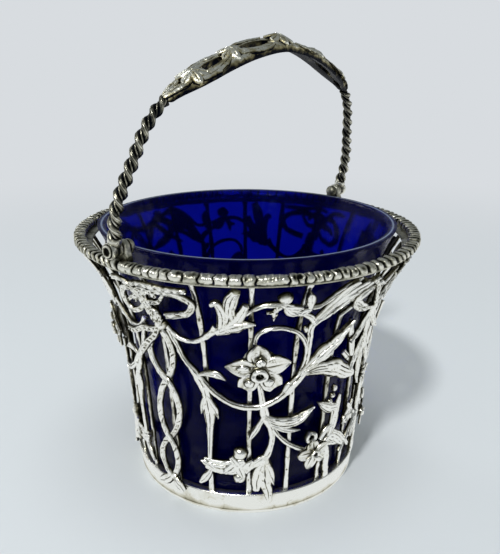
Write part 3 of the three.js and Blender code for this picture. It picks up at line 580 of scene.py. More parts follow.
# border wire of the rim: uneven lumps with thin slits between them in front, slanting ribs at the sides.
# Each half turn is alike: [from degree, to degree, pitch in degrees] from the hinge's bow on. A lump that is
# wider than leafPitch is the leaf in front, with slanting lines instead of dents
border = dict(radius=48.0, height=74.5, halfDeep=1.7, halfTall=1.2, groove=0.66, slant=1.0, leafPitch=6,
              spans=[(0, 14, 3.1), (14, 38, 4.2), (38, 47, 9), (47, 54, 2.3), (54, 68, 2.9), (68, 88, 3.5),
                     (88, 166, 3.0), (166, 180, 3.0)])
rng = np.random.RandomState(5)
edges = [0.0]
for start, end, pitch in border["spans"]:
    steps = pitch * (1 + 0.28 * (rng.rand(max(round((end - start) / pitch), 1)) - 0.5))
    edges += list(edges[-1] + np.cumsum(steps * (end - start) / steps.sum()))
edges = np.array(edges)
section = around(26)[None, :]
borderTurn = np.linspace(0, 360, 2880, endpoint=False)[:, None]
local = (borderTurn - panelTurn) % 180
slanting = held((local - 58) / 26) * held((180 - local) / 8)  # 0 in front, 1 at the sides
wander = 0.22 * np.sin(3 * section + local * 0.9) * (1 - slanting)
along = np.clip(local + wander + border["slant"] * slanting * np.sin(section + 0.3), 0, 179.999)
block = np.searchsorted(edges, along, side="right") - 1
width = np.diff(edges)[block]
isLeaf = width > border["leafPitch"]
phase = (along - edges[block]) / width
fromEdge = np.minimum(phase, 1 - phase) * width  # degrees to the nearest slit
slit = bell(fromEdge, 0.22 + 0.36 * slanting) * (1 - 0.3 * np.sin(section) * (1 - slanting))
crown = np.abs(2 * phase - 1) ** 2.4 * (0.3 + 0.15 * slanting) * ~isLeaf
draw = rng.rand(4, len(edges))[:, block]  # for each lump: place and turn of its dent, depth, size
dent = bell(phase - (0.3 + 0.4 * draw[0]), 0.22) * bell(np.sin(section - (0.2 + 1.0 * draw[1])) - 0.25, 0.5)
dent = dent * (1.5 * draw[2] + 0.1) * ~isLeaf * (1 - 0.8 * slanting)
leafLine = isLeaf * bell(np.sin(section - 0.5 - (phase - 0.5) * 1.6), 0.16) * 0.5
cut = slit * (1 + 0.2 * slanting) + crown * (1 - 0.5 * slanting) + leafLine + 0.75 * dent
cut = border["groove"] * np.clip(cut, -0.3, 1.4)
size = 1 + 0.16 * (draw[3] - 0.5) * (1 - 0.6 * slanting)
lumps = 0.05 * np.sin(local * 2.9 + 2 * section) + 0.04 * np.sin(local * 6.7 - section)
square = 2.5 + slanting  # power of the rounded square
corner = 1 / (np.abs(np.cos(section)) ** square + np.abs(np.sin(section)) ** square) ** (1 / square)
corner = corner * (1 - 0.22 * isLeaf * np.abs(2 * phase - 1) ** 2)
reach = border["radius"] + (border["halfDeep"] * size - cut + lumps) * np.cos(section) * corner
rise = border["height"] + (border["halfTall"] * size - 0.75 * cut + lumps) * np.sin(section) * corner
angle = np.radians(borderTurn)
borderGrid = np.stack([reach * np.cos(angle), reach * np.sin(angle), rise], -1)
# painted shade in the slits, dents and leaf lines, towards the ends of the lumps and under the wire
under = held(-np.sin(section) - 0.2) * 0.35
borderDark = slit * (1.1 + 0.3 * slanting) + 0.35 * crown + 0.5 * leafLine + held(dent) + 0.16 + under
basketPiece("rimBorder", [shell(borderGrid, held(borderDark), True)], "rim_border", rimSilver, 70)
print("rim made")

# upright bars: each a little uneven, like wire that was flattened by hand, and wider at both ends
bar = dict(count=20, firstTurn=5.0, width=1.6, depth=0.9, steps=90)
rng = np.random.RandomState(11)
for number in range(bar["count"]):
    sway, phase = rng.rand(2)[0] * 0.35, rng.rand(3) * 6.28
    heights = np.linspace(wall["barFoot"] - 0.2, wall["barTop"], bar["steps"])
    bend = sway * np.sin(heights / 11 + phase[0]) * 0.6

    def barHalf(u):
        wave = 0.09 * np.sin(u * 23 + phase[1]) + 0.06 * np.sin(u * 51 + phase[2])
        return bar["width"] / 2 * (0.92 + wave + 0.25 * bell(u, 0.04) + 0.2 * bell(1 - u, 0.03))

    strip = castStrip(wallSheet(bar["firstTurn"] + number * 360 / bar["count"]), np.stack([bend, heights], 1),
                      barHalf, stemRelief(bar["depth"], 0.0, 0.09, phase[1]), -bar["depth"], None, 9)
    # bars are darker over the middle of their height and mottled along it
    darkening = 0.5 + 0.5 * np.sin(heights / 7.5 + phase[2])
    midDarkening = 0.34 * held((heights - 14) / 16) * held((70 - heights) / 6) * (0.35 + 0.65 * darkening)
    strip["recess"] = held(strip["recess"] + midDarkening[:, None])
    basketPiece("uprightBar%02d" % (number + 1), [strip], "upright_bar_%02d" % (number + 1))
print("bars made")

# vine panel: places are [degrees from the bow, height], widths and heights in millimetres. Stems may have a
# groove, leaves have lobes and flutes, and curl lifts their tips
vineStems = [
    dict(places=[(5, 58.6), (6.8, 56.9), (9.8, 55.1), (14.3, 54.4), (18.8, 55.4), (22.6, 57.5),
                 (25.4, 59.6)],
         widths=[1.4, 1.2, 1.1, 1.1, 1.3, 1.7, 2.4]),
    dict(places=[(6, 57), (8.6, 52.6), (10.6, 49), (13.5, 46.4), (15.8, 44), (17.4, 41.6), (19, 39.4)],
         widths=[1.5, 1.5, 1.3, 1.3, 1.9, 2.6, 2.2], groove=0.25),
    dict(places=[(12, 47.6), (14.8, 45.4), (17.6, 43.4), (21.8, 40), (25, 38.4), (28.2, 37), (33, 35.8),
                 (37.8, 35.5), (42.6, 35.9), (47.4, 37.3), (51.6, 39.3), (55, 42), (58.4, 44.4),
                 (60.4, 46.4)],
         widths=[0.9, 1.1, 1.3, 1.5, 1.6, 1.6, 1.6, 1.6, 1.6, 1.7, 2.1, 2.6, 2.2, 1.4], groove=0.5),
    dict(places=[(51, 39.6), (53.4, 41.4), (56, 42.8)], widths=[1.6, 2.6, 1.2], groove=0.3),
    dict(places=[(57, 44), (59, 47.6), (59.4, 51.6), (59.3, 55.4), (58.9, 57.6), (59.6, 59.6), (62.6, 61),
                 (66.7, 62.8), (70.8, 64.3), (75, 65.4)],
         widths=[1.6, 1.9, 1.7, 1.6, 1.6, 1.8, 1.9, 1.5, 1.3, 1.2], groove=0.25),
    dict(places=[(38.5, 55.2), (39.5, 57.7), (41.6, 59.1), (44.7, 59.7), (48.8, 59.4), (52.9, 58.2),
                 (55.7, 56.4), (57.8, 54), (58.9, 51)],
         widths=[0.9, 1.0, 1.1, 1.1, 1.1, 1.2, 1.2, 1.2, 1.2], groove=0.3),
    dict(places=[(40.4, 43), (41.4, 40), (42.1, 37.2), (43, 34), (44, 31.4), (46, 28.6), (46.8, 25.9),
                 (46.4, 23.2), (45.2, 20.6), (43.4, 18.4)],
         widths=[1.2, 1.4, 1.7, 2.2, 2.2, 1.8, 1.6, 1.6, 1.8, 2.0], groove=0.2),
    dict(places=[(47, 28.4), (50.4, 25.2), (54, 22.9), (58.4, 20.9), (61.4, 19.8)],
         widths=[1.3, 1.2, 1.2, 1.3, 1.5], groove=0.35),
    dict(places=[(35.2, 64.4), (37.8, 65.8), (41.2, 66.9), (44.7, 67), (48.1, 66.6), (50.2, 65.8),
                 (52.2, 64.4), (55, 63.3), (58, 61.9), (60, 60)],
         widths=[1.4, 1.1, 1.2, 1.4, 1.8, 1.8, 1.5, 1.5, 1.6, 1.7], groove=0.2),
    dict(places=[(57.4, 65.1), (60.6, 65.4), (63.2, 67), (66, 68.8), (69.2, 70.6), (72.6, 72)],
         widths=[1.0, 1.1, 1.4, 1.7, 1.6, 1.2], groove=0.3),
    dict(places=[(17, 17.9), (21, 17.5), (25, 17.2), (28.6, 17.4), (32, 17.2)],
         widths=[0.8, 1.3, 1.4, 1.5, 1.4]),
    dict(places=[(17.6, 15.9), (22, 15.3), (26, 15.1), (30, 15.4), (34, 16), (39, 17.2), (43.6, 19.4)],
         widths=[2.2, 3.0, 3.2, 3.5, 3.0, 2.2, 1.8], groove=0.15),
    dict(places=[(70.5, 20.4), (76, 18.8), (83, 17), (90, 15.2)], widths=[1.8, 1.6, 1.5, 1.3], groove=0.2),
    dict(places=[(74, 19.4), (76, 15.4), (76.2, 11), (77, 7.2)], widths=[1.8, 1.9, 2.2, 2.1]),
    dict(places=[(78.6, 22), (84, 19.6), (89.4, 16.2), (94, 13)], widths=[1.4, 1.5, 1.3, 1.2], groove=0.2),
    dict(places=[(78, 47.8), (83, 44.6), (89, 41.4), (95, 38.6)], widths=[1.8, 1.9, 1.7, 1.3], groove=0.3)]
vineLeaves = [
    dict(places=[(26.2, 58.4), (27.6, 61.6), (27.5, 65), (26.2, 67.7), (24.6, 67.2)],
         widths=[2.0, 2.8, 2.7, 2.2, 1.3], lobes=0, flutes=1, curl=0.5),
    dict(places=[(26.6, 58.4), (29.6, 62.2), (30.2, 66), (30.9, 69), (32.6, 72)],
         widths=[2.4, 3.9, 3.2, 3.5, 2.4], lobes=2, depth=0.1, flutes=1.5, curl=0.7),
    dict(places=[(27.6, 59.2), (31.8, 61.8), (33.8, 64.4), (35.4, 67.6)],
         widths=[2.2, 3.2, 2.8, 1.5], lobes=0, flutes=1, curl=0.4),
    dict(places=[(25, 58.4), (29.4, 60), (34, 61.2), (38.6, 61.8)],
         widths=[2.2, 4.2, 3.6, 0.3], lobes=3, depth=0.26, flutes=1.5, curl=0.4),
    dict(places=[(16.8, 44.6), (20, 45.2), (24, 45.2), (27.8, 44)],
         widths=[0.8, 2.1, 2.2, 0.1], lobes=0, flutes=1, sweep=0.9, curl=0.2),
    dict(places=[(18.6, 41.2), (19.6, 37), (20.2, 33), (20.3, 28.4), (20, 23), (19.6, 18.4)],
         widths=[1.9, 3.2, 3.2, 2.1, 1.6, 1.4], lobes=2, depth=0.16, flutes=1, curl=0.1),
    dict(places=[(19.4, 38.6), (21, 36.4), (22.8, 34.4), (24.2, 31.9)],
         widths=[1.4, 2.0, 1.9, 0.2], lobes=0, flutes=1),
    dict(places=[(18.8, 38), (18, 36), (17.4, 34.4), (17, 32.8)],
         widths=[1.2, 1.7, 1.5, 0.2], lobes=0, flutes=0.5),
    dict(places=[(43, 32.6), (41.6, 30.6), (39.6, 28.2), (37.4, 25.7)],
         widths=[1.3, 1.6, 1.8, 0.9], lobes=0, flutes=1),
    dict(places=[(42.6, 33), (47.6, 30.6), (53, 29.8), (58.6, 30.6), (64.8, 33.7)],
         widths=[1.2, 3.4, 4.2, 3.4, 0.2], lobes=2, depth=0.12, flutes=2, sweep=0.9, curl=0.6),
    dict(places=[(46.8, 29.4), (51, 28), (55, 27.2), (59, 27.1)],
         widths=[0.8, 1.7, 1.6, 0.2], lobes=0, flutes=0.5, curl=0.2),
    dict(places=[(57.6, 45), (63.6, 48.4), (68.4, 50.8), (72.6, 53.2), (75.6, 55.8), (77.8, 58.4)],
         widths=[1.8, 4.2, 5.8, 4.9, 2.8, 0.3], lobes=4, depth=0.24, flutes=2, sweep=1.2, curl=0.8),
    dict(places=[(58.4, 44.6), (64.4, 45), (70, 44.5), (75.4, 43.3), (80.4, 41.3), (85, 40)],
         widths=[1.6, 3.8, 5.2, 5.6, 4.6, 2.4], lobes=3, depth=0.14, flutes=2, sweep=1.0, curl=1.1),
    dict(places=[(77.4, 58.4), (79.4, 54.6), (81.8, 50.6), (83.4, 46)],
         widths=[1.0, 2.2, 3.0, 2.0], lobes=2, depth=0.2, flutes=1, curl=0.5),
    dict(places=[(67, 34.1), (70.6, 32.4), (74.4, 30.9), (78.4, 30.4)],
         widths=[0.2, 2.4, 3.2, 2.2], lobes=0, flutes=1.5, curl=0.3),
    dict(places=[(80, 34), (79.6, 31.6), (79, 29), (78.4, 26)],
         widths=[0.5, 2.2, 2.8, 2.4], lobes=0, flutes=1),
    dict(places=[(78.6, 30.4), (78.8, 27), (78, 24), (76, 21)],
         widths=[2.8, 3.6, 3.4, 1.8], lobes=0, flutes=1.5),
    dict(places=[(72, 19.6), (77, 20.6), (82, 18.6), (86, 15.8)],
         widths=[1.4, 3.6, 3.6, 0.8], lobes=2, depth=0.22, flutes=1.5, curl=0.4),
    dict(places=[(70.4, 21.4), (73, 23.4), (75.6, 24.4), (78, 24.2)],
         widths=[1.2, 2.2, 2.2, 1.0], lobes=0, flutes=1),
    dict(places=[(88, 29), (90, 26.6), (92.6, 24.4), (95, 22.6)],
         widths=[0.6, 2.6, 2.4, 0.6], lobes=0, flutes=1),
    dict(places=[(43.8, 19.8), (43.6, 15.4), (44.2, 11), (45.6, 8), (46.2, 5.1)],
         widths=[2.0, 4.8, 5.0, 3.2, 1.4], lobes=3, depth=0.2, flutes=1, curl=0.9),
    dict(places=[(43.4, 18.8), (41.8, 15.4), (40.8, 12), (40.2, 8.7)],
         widths=[1.6, 3.2, 3.4, 2.0], lobes=0, flutes=1, curl=0.4),
    dict(places=[(44.6, 17), (46, 14.6), (47, 12.6), (47.9, 10.5)],
         widths=[1.6, 2.4, 2.0, 0.3], lobes=0, flutes=0.5, curl=0.5),
    dict(places=[(21.6, 15.4), (19, 16.4), (17.4, 17), (15.6, 17.6)],
         widths=[1.9, 3.0, 2.4, 0.4], lobes=2, depth=0.3, flutes=1, curl=0.3),
    dict(places=[(20.4, 15), (18.4, 12.8), (16.6, 11), (14.4, 9.4)],
         widths=[1.2, 1.9, 2.4, 1.2], lobes=0, flutes=1),
    dict(places=[(32, 14), (34.4, 15), (36.6, 16.8), (38.6, 18.8)],
         widths=[2.0, 3.2, 2.8, 0.8], lobes=0, flutes=1, curl=0.3),
    dict(places=[(35, 18.4), (32, 17.2), (29, 16), (26.4, 14.6)],
         widths=[1.8, 3.4, 3.4, 1.6], lobes=0, flutes=1, curl=0.5),
    dict(places=[(29, 19.6), (31, 17.6), (33, 15.6), (34.6, 13.4)],
         widths=[1.4, 2.8, 2.8, 1.2], lobes=0, flutes=1, curl=0.5),
    dict(places=[(56.6, 65), (56.2, 67), (55.4, 68.8), (54.6, 70.6)],
         widths=[1.2, 2.6, 2.2, 0.2], lobes=0, flutes=1, curl=0.5),
    dict(places=[(56.8, 65), (55.6, 64.4), (54, 63.8), (52.4, 63.6)],
         widths=[0.8, 2.0, 1.8, 0.6], lobes=0, flutes=0.5),
    dict(places=[(44.6, 67), (44.9, 65.8), (44.7, 64.6), (44.3, 62.8)],
         widths=[0.8, 1.3, 1.5, 0.3], lobes=0, flutes=0, curl=0.3),
    dict(places=[(46.4, 66.6), (45.4, 65.6), (43.6, 65), (41.8, 65.2)],
         widths=[0.8, 1.4, 1.4, 0.3], lobes=0, flutes=0, curl=0.2),
    dict(places=[(47.4, 66.4), (49.4, 65.8), (51.6, 65.6), (53.6, 66)],
         widths=[1.2, 2.4, 2.4, 0.6], lobes=0, flutes=1, curl=0.4),
    dict(places=[(47.6, 66.2), (49, 64.8), (50.6, 64), (52.4, 64)],
         widths=[1.0, 2.0, 2.0, 0.6], lobes=0, flutes=1, curl=0.3),
    dict(places=[(62, 61.4), (66, 65), (70, 67), (74, 67.6)],
         widths=[1.0, 2.4, 2.8, 0.6], lobes=3, depth=0.3, flutes=1.5, sweep=1.1, curl=0.5),
    dict(places=[(72, 66), (77, 63.6), (82, 61.4), (88, 59.8)],
         widths=[1.2, 2.6, 2.6, 0.6], lobes=2, depth=0.2, flutes=1, curl=0.4),
    dict(places=[(74, 70.6), (80, 69.4), (85, 68), (91, 66.6)],
         widths=[1.0, 2.4, 2.4, 0.6], lobes=2, depth=0.2, flutes=1, curl=0.3),
    dict(places=[(59.6, 61.4), (64, 65.6), (67.6, 69), (71, 71.9)],
         widths=[1.0, 1.9, 2.4, 1.2], lobes=2, depth=0.2, flutes=1, curl=0.6),
    dict(places=[(66, 62.4), (70.6, 65.2), (75.6, 68.2), (80.4, 71.4)],
         widths=[1.0, 1.8, 2.2, 0.8], lobes=3, depth=0.2, flutes=1, curl=0.6),
    dict(places=[(60.6, 61.6), (64.4, 64.6), (68.6, 67.8), (74.4, 71.6)],
         widths=[0.8, 1.3, 1.6, 0.9], lobes=0, flutes=0.5, curl=0.9),
    dict(places=[(70, 60.6), (75, 62.8), (79.6, 65.6), (84.6, 69)],
         widths=[0.8, 1.7, 2.2, 0.6], lobes=2, depth=0.2, flutes=1, curl=0.6)]
vineBuds = [  # place, radius, stretch, tilt, height
    ((47.4, 69), 1.75, (1.15, 1.0), 0, 2.0), ((33.1, 20.7), 2.1, (1.0, 0.95), 0, 2.1),
    ((32.7, 12.5), 1.75, (1.05, 1.0), 0, 1.9), ((57, 58.2), 0.95, (0.8, 1.3), 0.2, 1.1),
    ((76.6, 36.6), 0.9, (1, 1.3), 0, 1.4), ((75.8, 34.4), 0.9, (1, 1), 0, 1.4),
    ((74.6, 32.8), 0.8, (1, 1), 0, 1.4), ((38.4, 46.9), 0.8, (1, 1), 0, 1.9),
    ((27.6, 15), 0.9, (1, 1), 0, 1.9)]
vineCups = [((65, 23.4), 1.9, 0.8, 2.0), ((87.4, 24), 1.5, 0.7, 1.8)]  # place, radius, hole, height
vineBase = dict(stemLow=0.05, stemHeight=1.05, stemShare=1.1, leafHeight=0.9, leafLow=0.35, budLow=0.1)


# Panel of stems, leaves and buds. Lows step on from one to the next, low + 0.04 (k % 4) and
# low + 0.07 (k % 4), so that crossings show
def vinePanel(sheet, seed):
    parts, base = [], vineBase
    for k, stem in enumerate(vineStems):
        relief = stemRelief(base["stemHeight"] + 0.03 * (k % 3), stem.get("groove", 0.0), 0.07, k + seed)
        low = base["stemLow"] + 0.04 * (k % 4)
        full = np.array(stem["widths"]) * base["stemShare"]
        parts.append(castStrip(sheet, stem["places"], full, relief, low))
    for k, leaf in enumerate(vineLeaves):
        relief = leafRelief(base["leafHeight"], leaf["flutes"], leaf.get("sweep", 0.6),
                            curl=leaf.get("curl", 0.0), seed=k * 1.7)
        half = widths(leaf["widths"], leaf["lobes"], leaf.get("depth", 0.0))
        low = base["leafLow"] + 0.07 * (k % 4)
        parts.append(castStrip(sheet, leaf["places"], half, relief, low, 0.28, 23, wild=0.5))
    for place, radius, stretch, tilt, height in vineBuds:
        parts.append(boss(sheet, place, domeProfile(radius, base["budLow"], height), 20, stretch, tilt))
    for place, radius, hole, height in vineCups:
        parts.append(boss(sheet, place, ringProfile(radius, hole, base["budLow"], height)))
    return parts


# big flower: a pointed upper petal, two pointed side petals, two square lower ones, and a ring with beads.
# Rings and beads are [kind, right, up, radius, over the flower's low, height, stretch]
pointedPetal, squarePetal = dict(bend=4, cup=0.58, height=0.9), dict(cup=0.58, height=0.95)
bigFlower = dict(place=(40.4, 48.3), low=1.25, foot=5.0, petals=[
    dict(turn=-4, length=7.2, width=5.8, shape=(0.5, 0.9, 1.08, 1.0, 0.72, 0.2), cup=0.55, height=1.0),
    dict(turn=-88, length=8.3, width=5.6, shape=(0.5, 0.9, 1.05, 0.9, 0.52, 0.04), **pointedPetal),
    dict(turn=74, length=7.8, width=5.6, shape=(0.5, 0.9, 1.08, 1.0, 0.62, 0.06), **pointedPetal),
    dict(turn=-148, length=7.2, width=4.8, shape=(0.5, 0.8, 1.0, 1.1, 1.1, 0.8), **squarePetal),
    dict(turn=145, length=7.4, width=5.2, shape=(0.5, 0.8, 1.0, 1.12, 1.12, 0.8), **squarePetal)], beads=[
    (collaredRing, 0, -1.5, 2.0, 0, 2.4, (1.0, 1.0)), (collaredBead, 0.3, 2.2, 1.15, 0.2, 2.1, (1.0, 1.0)),
    (collaredBead, -3.7, -4.3, 1.1, 0.2, 1.7, (1.0, 1.0)),
    (collaredBead, 3.5, -4.1, 1.2, 0.2, 1.7, (1.0, 1.0)),
    (collaredBead, -5.9, 0.2, 0.85, 0.2, 1.35, (1.7, 1.0))])
smallPetals = [(-14, 4.6, 4.0), (58, 4.6, 3.4), (128, 4.4, 3.4), (-152, 4.8, 3.8), (-84, 5.2, 3.6)]
smallFlower = dict(place=(66.9, 18), low=1.3, foot=2.8, petals=[
    dict(turn=turn, length=length, width=width, cup=0.55, shape=(0.5, 0.9, 1.05, 1.0, 0.8, 0.2))
    for turn, length, width in smallPetals])


# Petals of a flower on the wall and the domed foot behind them, up to 0.25 over its low, the foot painted
# darker as shade under the petals
def flowerOnWall(sheet, flower, sides):
    foot = domeProfile(flower["foot"], 0.1, flower["low"] + 0.25)
    return flowerShells(sheet, flower["place"], flower["petals"], flower["low"]) + [
        boss(sheet, flower["place"], foot, sides, dark=[0.45] * domeSteps)]


# Big flower: its petals, then each bead at place + [right, up]
def bigFlowerShells(sheet):
    (turn, z), low = bigFlower["place"], bigFlower["low"]
    return flowerOnWall(sheet, bigFlower, 24) + [
        collaredBoss(sheet, (turn + right, z + up), kind, radius, low + under, low + height, stretch)
        for kind, right, up, radius, under, height, stretch in bigFlower["beads"]]


# Small flower: its petals and a plain ring in the middle
def smallFlowerShells(sheet):
    low = smallFlower["low"]
    ring = boss(sheet, smallFlower["place"], ringProfile(1.35, 0.6, low, low + 1.6))
    return flowerOnWall(sheet, smallFlower, 20) + [ring]


quarters = [(panelTurn, 1), (panelTurn, -1), (panelTurn + 180, 1), (panelTurn + 180, -1)]
for number, (origin, hand) in enumerate(quarters, 1):
    sheet = wallSheet(origin, hand)
    basketPiece("vinePanel%d" % number, vinePanel(sheet, number), "vine_panel_%d" % number)
    basketPiece("flowerLarge%d" % number, bigFlowerShells(sheet), "flower_large_%d" % number)
    basketPiece("flowerSmall%d" % number, smallFlowerShells(sheet), "flower_small_%d" % number)
print("vine panels made")

# two ribbons that cross down the wall, one over the other in turn, and two leaves at their lower end
ribbonDrop = dict(crossings=[(3.2, 57), (1.3, 41), (-0.5, 21.6), (-0.8, 8.2)], middles=[-2.1, 0.25, -1.1],
                  loops=[5.9, 5.4, 4.7], width=1.95, height=0.95, low=0.2, leafWidths=[2.0, 2.8, 3.2, 1.6],
                  leaves=[[(-1, 9.2), (1, 7.8), (3.4, 6.6), (6.4, 5.2)],
                          [(-0.6, 9.2), (-2.6, 7.6), (-5.4, 6.2), (-8.6, 5)]])


# Ribbon between two crossings at a share f: straight + (middle + loop * hand) * sin(pi * f)^0.8, and its low
# goes up and down by 0.28 (1 + hand * cos(3 pi * u))
def ribbonDropShells(sheet):
    drop, parts = ribbonDrop, []
    stops = np.array(drop["crossings"], float)
    along = np.linspace(0, 1, 170) * (len(stops) - 1)
    k = np.minimum(along.astype(int), len(stops) - 2)
    f = along - k
    for hand in (-1, 1):
        side = np.where(k % 2 == 0, hand, -hand) * np.array(drop["loops"])[k] + np.array(drop["middles"])[k]
        places = stops[k] * (1 - f)[:, None] + stops[k + 1] * f[:, None]
        places[:, 0] += side * np.sin(np.pi * f) ** 0.8
        over = lambda u: drop["low"] + 0.28 * (1 + hand * np.cos(np.pi * 3 * u))
        relief = ribbonRelief(drop["height"], 17, 0.22, hand * 0.3)
        parts.append(castStrip(sheet, places[::6], [drop["width"]] * 3, relief, over, 0.35, 15))
    for places in drop["leaves"]:
        parts.append(castStrip(sheet, places, drop["leafWidths"], leafRelief(0.7, curl=0.1),
                               lambda u: 0.5 + 0.75 * held(u / 0.5), 0.3, 15))
    return parts


# bow: loops of thin ribbon and its tails, in the same places as the vines
bigBow = dict(low=0.9, height=1.0, width=1.8, knot=(3.6, 58.4), husks=[], ribbons=[
    dict(places=[(5.2, 60.2), (1.6, 64), (1.4, 68), (6.7, 69.6), (14.3, 69.4), (18.4, 67.2), (16.6, 64.2),
                 (12, 62.8), (7.5, 62)], widths=[1.3, 1.9, 2.0, 2.0]),
    dict(places=[(0.8, 61.6), (-1.6, 67.6), (-6.2, 68.6), (-9.9, 66), (-10.7, 62.8), (-7.7, 61), (-3.1, 62.4),
                 (-0.4, 64.4)]),
    dict(places=[(2.2, 59.4), (1.6, 61.6), (2.6, 63.4), (4.4, 63), (5, 60.8), (4, 59)],
         widths=[1.0, 1.1, 1.1, 1.0]),
    dict(places=[(-1.4, 71.2), (3, 71.8), (9, 71.4), (14, 71.4), (18.4, 71.8)], widths=[1.2, 1.8, 1.8, 1.4]),
    dict(places=[(-11.4, 70.6), (-6, 70.8), (-2, 68.4), (1.4, 64.6), (3.4, 60)]),
    dict(places=[(-2.6, 62.8), (1.4, 65.4), (6.2, 66.2), (9.4, 68.8)], widths=[1.0, 1.5, 1.3, 0.9]),
    dict(places=[(4.2, 58), (-0.8, 56.5), (-5.4, 56), (-11.5, 53.7), (-16, 53.5)]),
    dict(places=[(3, 58), (0, 54.6), (-4.6, 51.6), (-9, 47.6)]),
    dict(places=[(-8.4, 64), (-4.6, 65.8), (-0.6, 65.4), (3.2, 62)], widths=[1.0, 1.4, 1.4, 1.0]),
    dict(places=[(-4, 65), (-1, 68.6), (3.4, 69.9), (6.4, 67.8)])])


# Bow: its ribbons at low + 0.16 (k % 4), so that they cross, then the knot and the husks
def bowShells(sheet, bow):
    parts, low = [], bow["low"]
    plain = [bow["width"] * 0.8, bow["width"], bow["width"], bow["width"] * 0.75]
    for k, line in enumerate(bow["ribbons"]):
        relief = ribbonRelief(bow["height"], 9 + 2 * (k % 3), 0.3, k * 0.37)
        parts.append(castStrip(sheet, line["places"], line.get("widths", plain), relief, low + 0.16 * (k % 4),
                               0.32))
    parts.append(boss(sheet, bow["knot"], domeProfile(1.9, low - 0.4, low + 1.5), 24, (1.15, 0.9), 0.5))
    for k, (places, full) in enumerate(bow["husks"]):
        relief = leafRelief(bow["height"], 1.5, curl=0.4)
        parts.append(castStrip(sheet, places, full, relief, low + 0.05 * (k % 3), 0.3, 15))
    return parts


# Places on the other hand: [-a, b]
def mirrored(places):
    return [(-a, b) for a, b in places]


sideLoop = [(1, 61), (4.6, 66.6), (9.4, 68.6), (14.6, 67), (15.4, 63.6), (10, 61.2), (4, 60.6), (1, 59.6)]
sideTail = [(0.6, 60), (5, 65.6), (9, 69.4), (13, 71.6)]
upperHusk, upperWidths = [(0.4, 60), (3.6, 56.4), (7, 53), (10.8, 51.2)], [1.4, 2.5, 2.7, 1.3]
lowerHusk, lowerWidths = [(0, 52), (2.4, 48.4), (4.6, 44.6), (7, 41.4)], [1.2, 2.4, 2.5, 1.1]
sideBow = dict(low=0.9, height=1.0, width=1.4, knot=(0, 59.8), ribbons=[
    dict(places=places) for places in (sideLoop, mirrored(sideLoop), sideTail, mirrored(sideTail))],
    husks=[(upperHusk, upperWidths), (mirrored(upperHusk), upperWidths),
           (lowerHusk, lowerWidths), (mirrored(lowerHusk), lowerWidths),
           ([(0, 60), (0, 55), (0, 51), (0, 47)], [1.6, 3.6, 2.6, 1.2]),
           ([(0, 48), (0, 44), (0, 40), (0, 35.4)], [1.2, 3.2, 2.6, 0.2])])

for end, origin in (("Far", panelTurn), ("Near", panelTurn + 180)):
    sheet = wallSheet(origin)
    basketPiece("ribbonDrop" + end, ribbonDropShells(sheet), "ribbon_drop_" + end.lower())
    basketPiece("bow" + end, bowShells(sheet, bigBow), "bow_" + end.lower())
for end, origin in (("Right", panelTurn + 90), ("Left", panelTurn - 90)):
    basketPiece("sideBow" + end, bowShells(wallSheet(origin), sideBow), "side_bow_" + end.lower())
print("ribbons and bows made")

# hinges: lug on the border wire, and a pin with a domed head inside and a hollow rivet outside
hinge = dict(height=78.5, lugMiddle=(0, 77.8), lugX=[45.95, 46.1, 46.5, 47.1, 47.5, 47.65],
             lugShare=[0.86, 0.96, 1.0, 1.0, 0.96, 0.86], headRadius=1.88, headStart=43.72, headDepth=1.4)
lugHalf = [(0.9, 80.45), (1.8, 79.7), (2.1, 78.5), (2.2, 77.4), (2.9, 76.2), (3.0, 75.1)]
lugOutline = rounded(mirrored(lugHalf[::-1]) + [(0, 80.6)] + lugHalf, 0.5)


# Lug: its outline at six places along X, middle + (outline - middle) * share, with painted shade near the
# border wire
def lugShells(hand):
    share = np.array(hinge["lugShare"])[:, None, None]
    outline = hinge["lugMiddle"] + (lugOutline - hinge["lugMiddle"])[None] * share
    x = hand * np.array(hinge["lugX"])[:, None, None]
    grid = np.concatenate([np.repeat(x, len(lugOutline), 1), outline], 2)
    return [shell(grid, np.clip((78.2 - grid[..., 2]) / 2.4, 0.25, 0.8))]


domeTurn = np.linspace(0.12, np.pi / 2, 7)
pinProfile = [(hinge["headRadius"] * math.sin(t), hinge["headStart"] + hinge["headDepth"] * (1 - math.cos(t)))
              for t in domeTurn]
pinProfile += [(1.88, 45.4), (1.75, 45.58), (0.75, 45.6), (0.75, 51.3), (1.35, 51.35), (1.58, 51.5),
               (1.55, 51.75), (1.35, 51.88), (1.0, 51.8), (0.85, 51.5), (0.4, 51.4)]
# recess of the pin: a middling tone on the head, painted shade along the shaft and in the hollow of the rivet
pinDark = [0.5] * len(domeTurn) + [0.4, 0.8, 0.9, 0.9, 0.8, 0.5, 0.2, 0.1, 0.6, 1.0, 1.0]
for end, hand in (("Far", 1), ("Near", -1)):
    basketPiece("rimLug" + end, lugShells(hand), "rim_lug_" + end.lower(), rimSilver, 50)
    pin = turnedAlongX([(r, hand * x) for r, x in pinProfile], hinge["height"], pinDark)
    basketPiece("hingePin" + end, [pin], "hinge_pin_" + end.lower(), rimSilver, 50)
print("hinges made")

# handle: its own plane holds the centre line, which leans towards -Y at rest
handle = dict(rise=48.2, halfSpan=49.5, lean=11.85, neck=3.0, archReach=40.8, archHalf=4.2, archThick=1.9,
              armFoot=1.78, armTop=1.48, pitch=6.9)
handleHalf = [(1, 0), (1.002, 0.095), (1.008, 0.18), (0.988, 0.29), (0.933, 0.44), (0.869, 0.604),
              (0.77, 0.725), (0.606, 0.822), (0.404, 0.914), (0.202, 0.975)]
handleLine = np.array(mirrored(handleHalf) + [(0, 1)] + handleHalf[::-1])
handleLine = through(handleLine * [handle["halfSpan"], handle["rise"]], np.linspace(0, 1, 2001))
lineRun = np.concatenate([[0], np.cumsum(np.hypot(*np.diff(handleLine, axis=0).T))])
halfRun = lineRun[-1] / 2
lean = math.radians(handle["lean"])


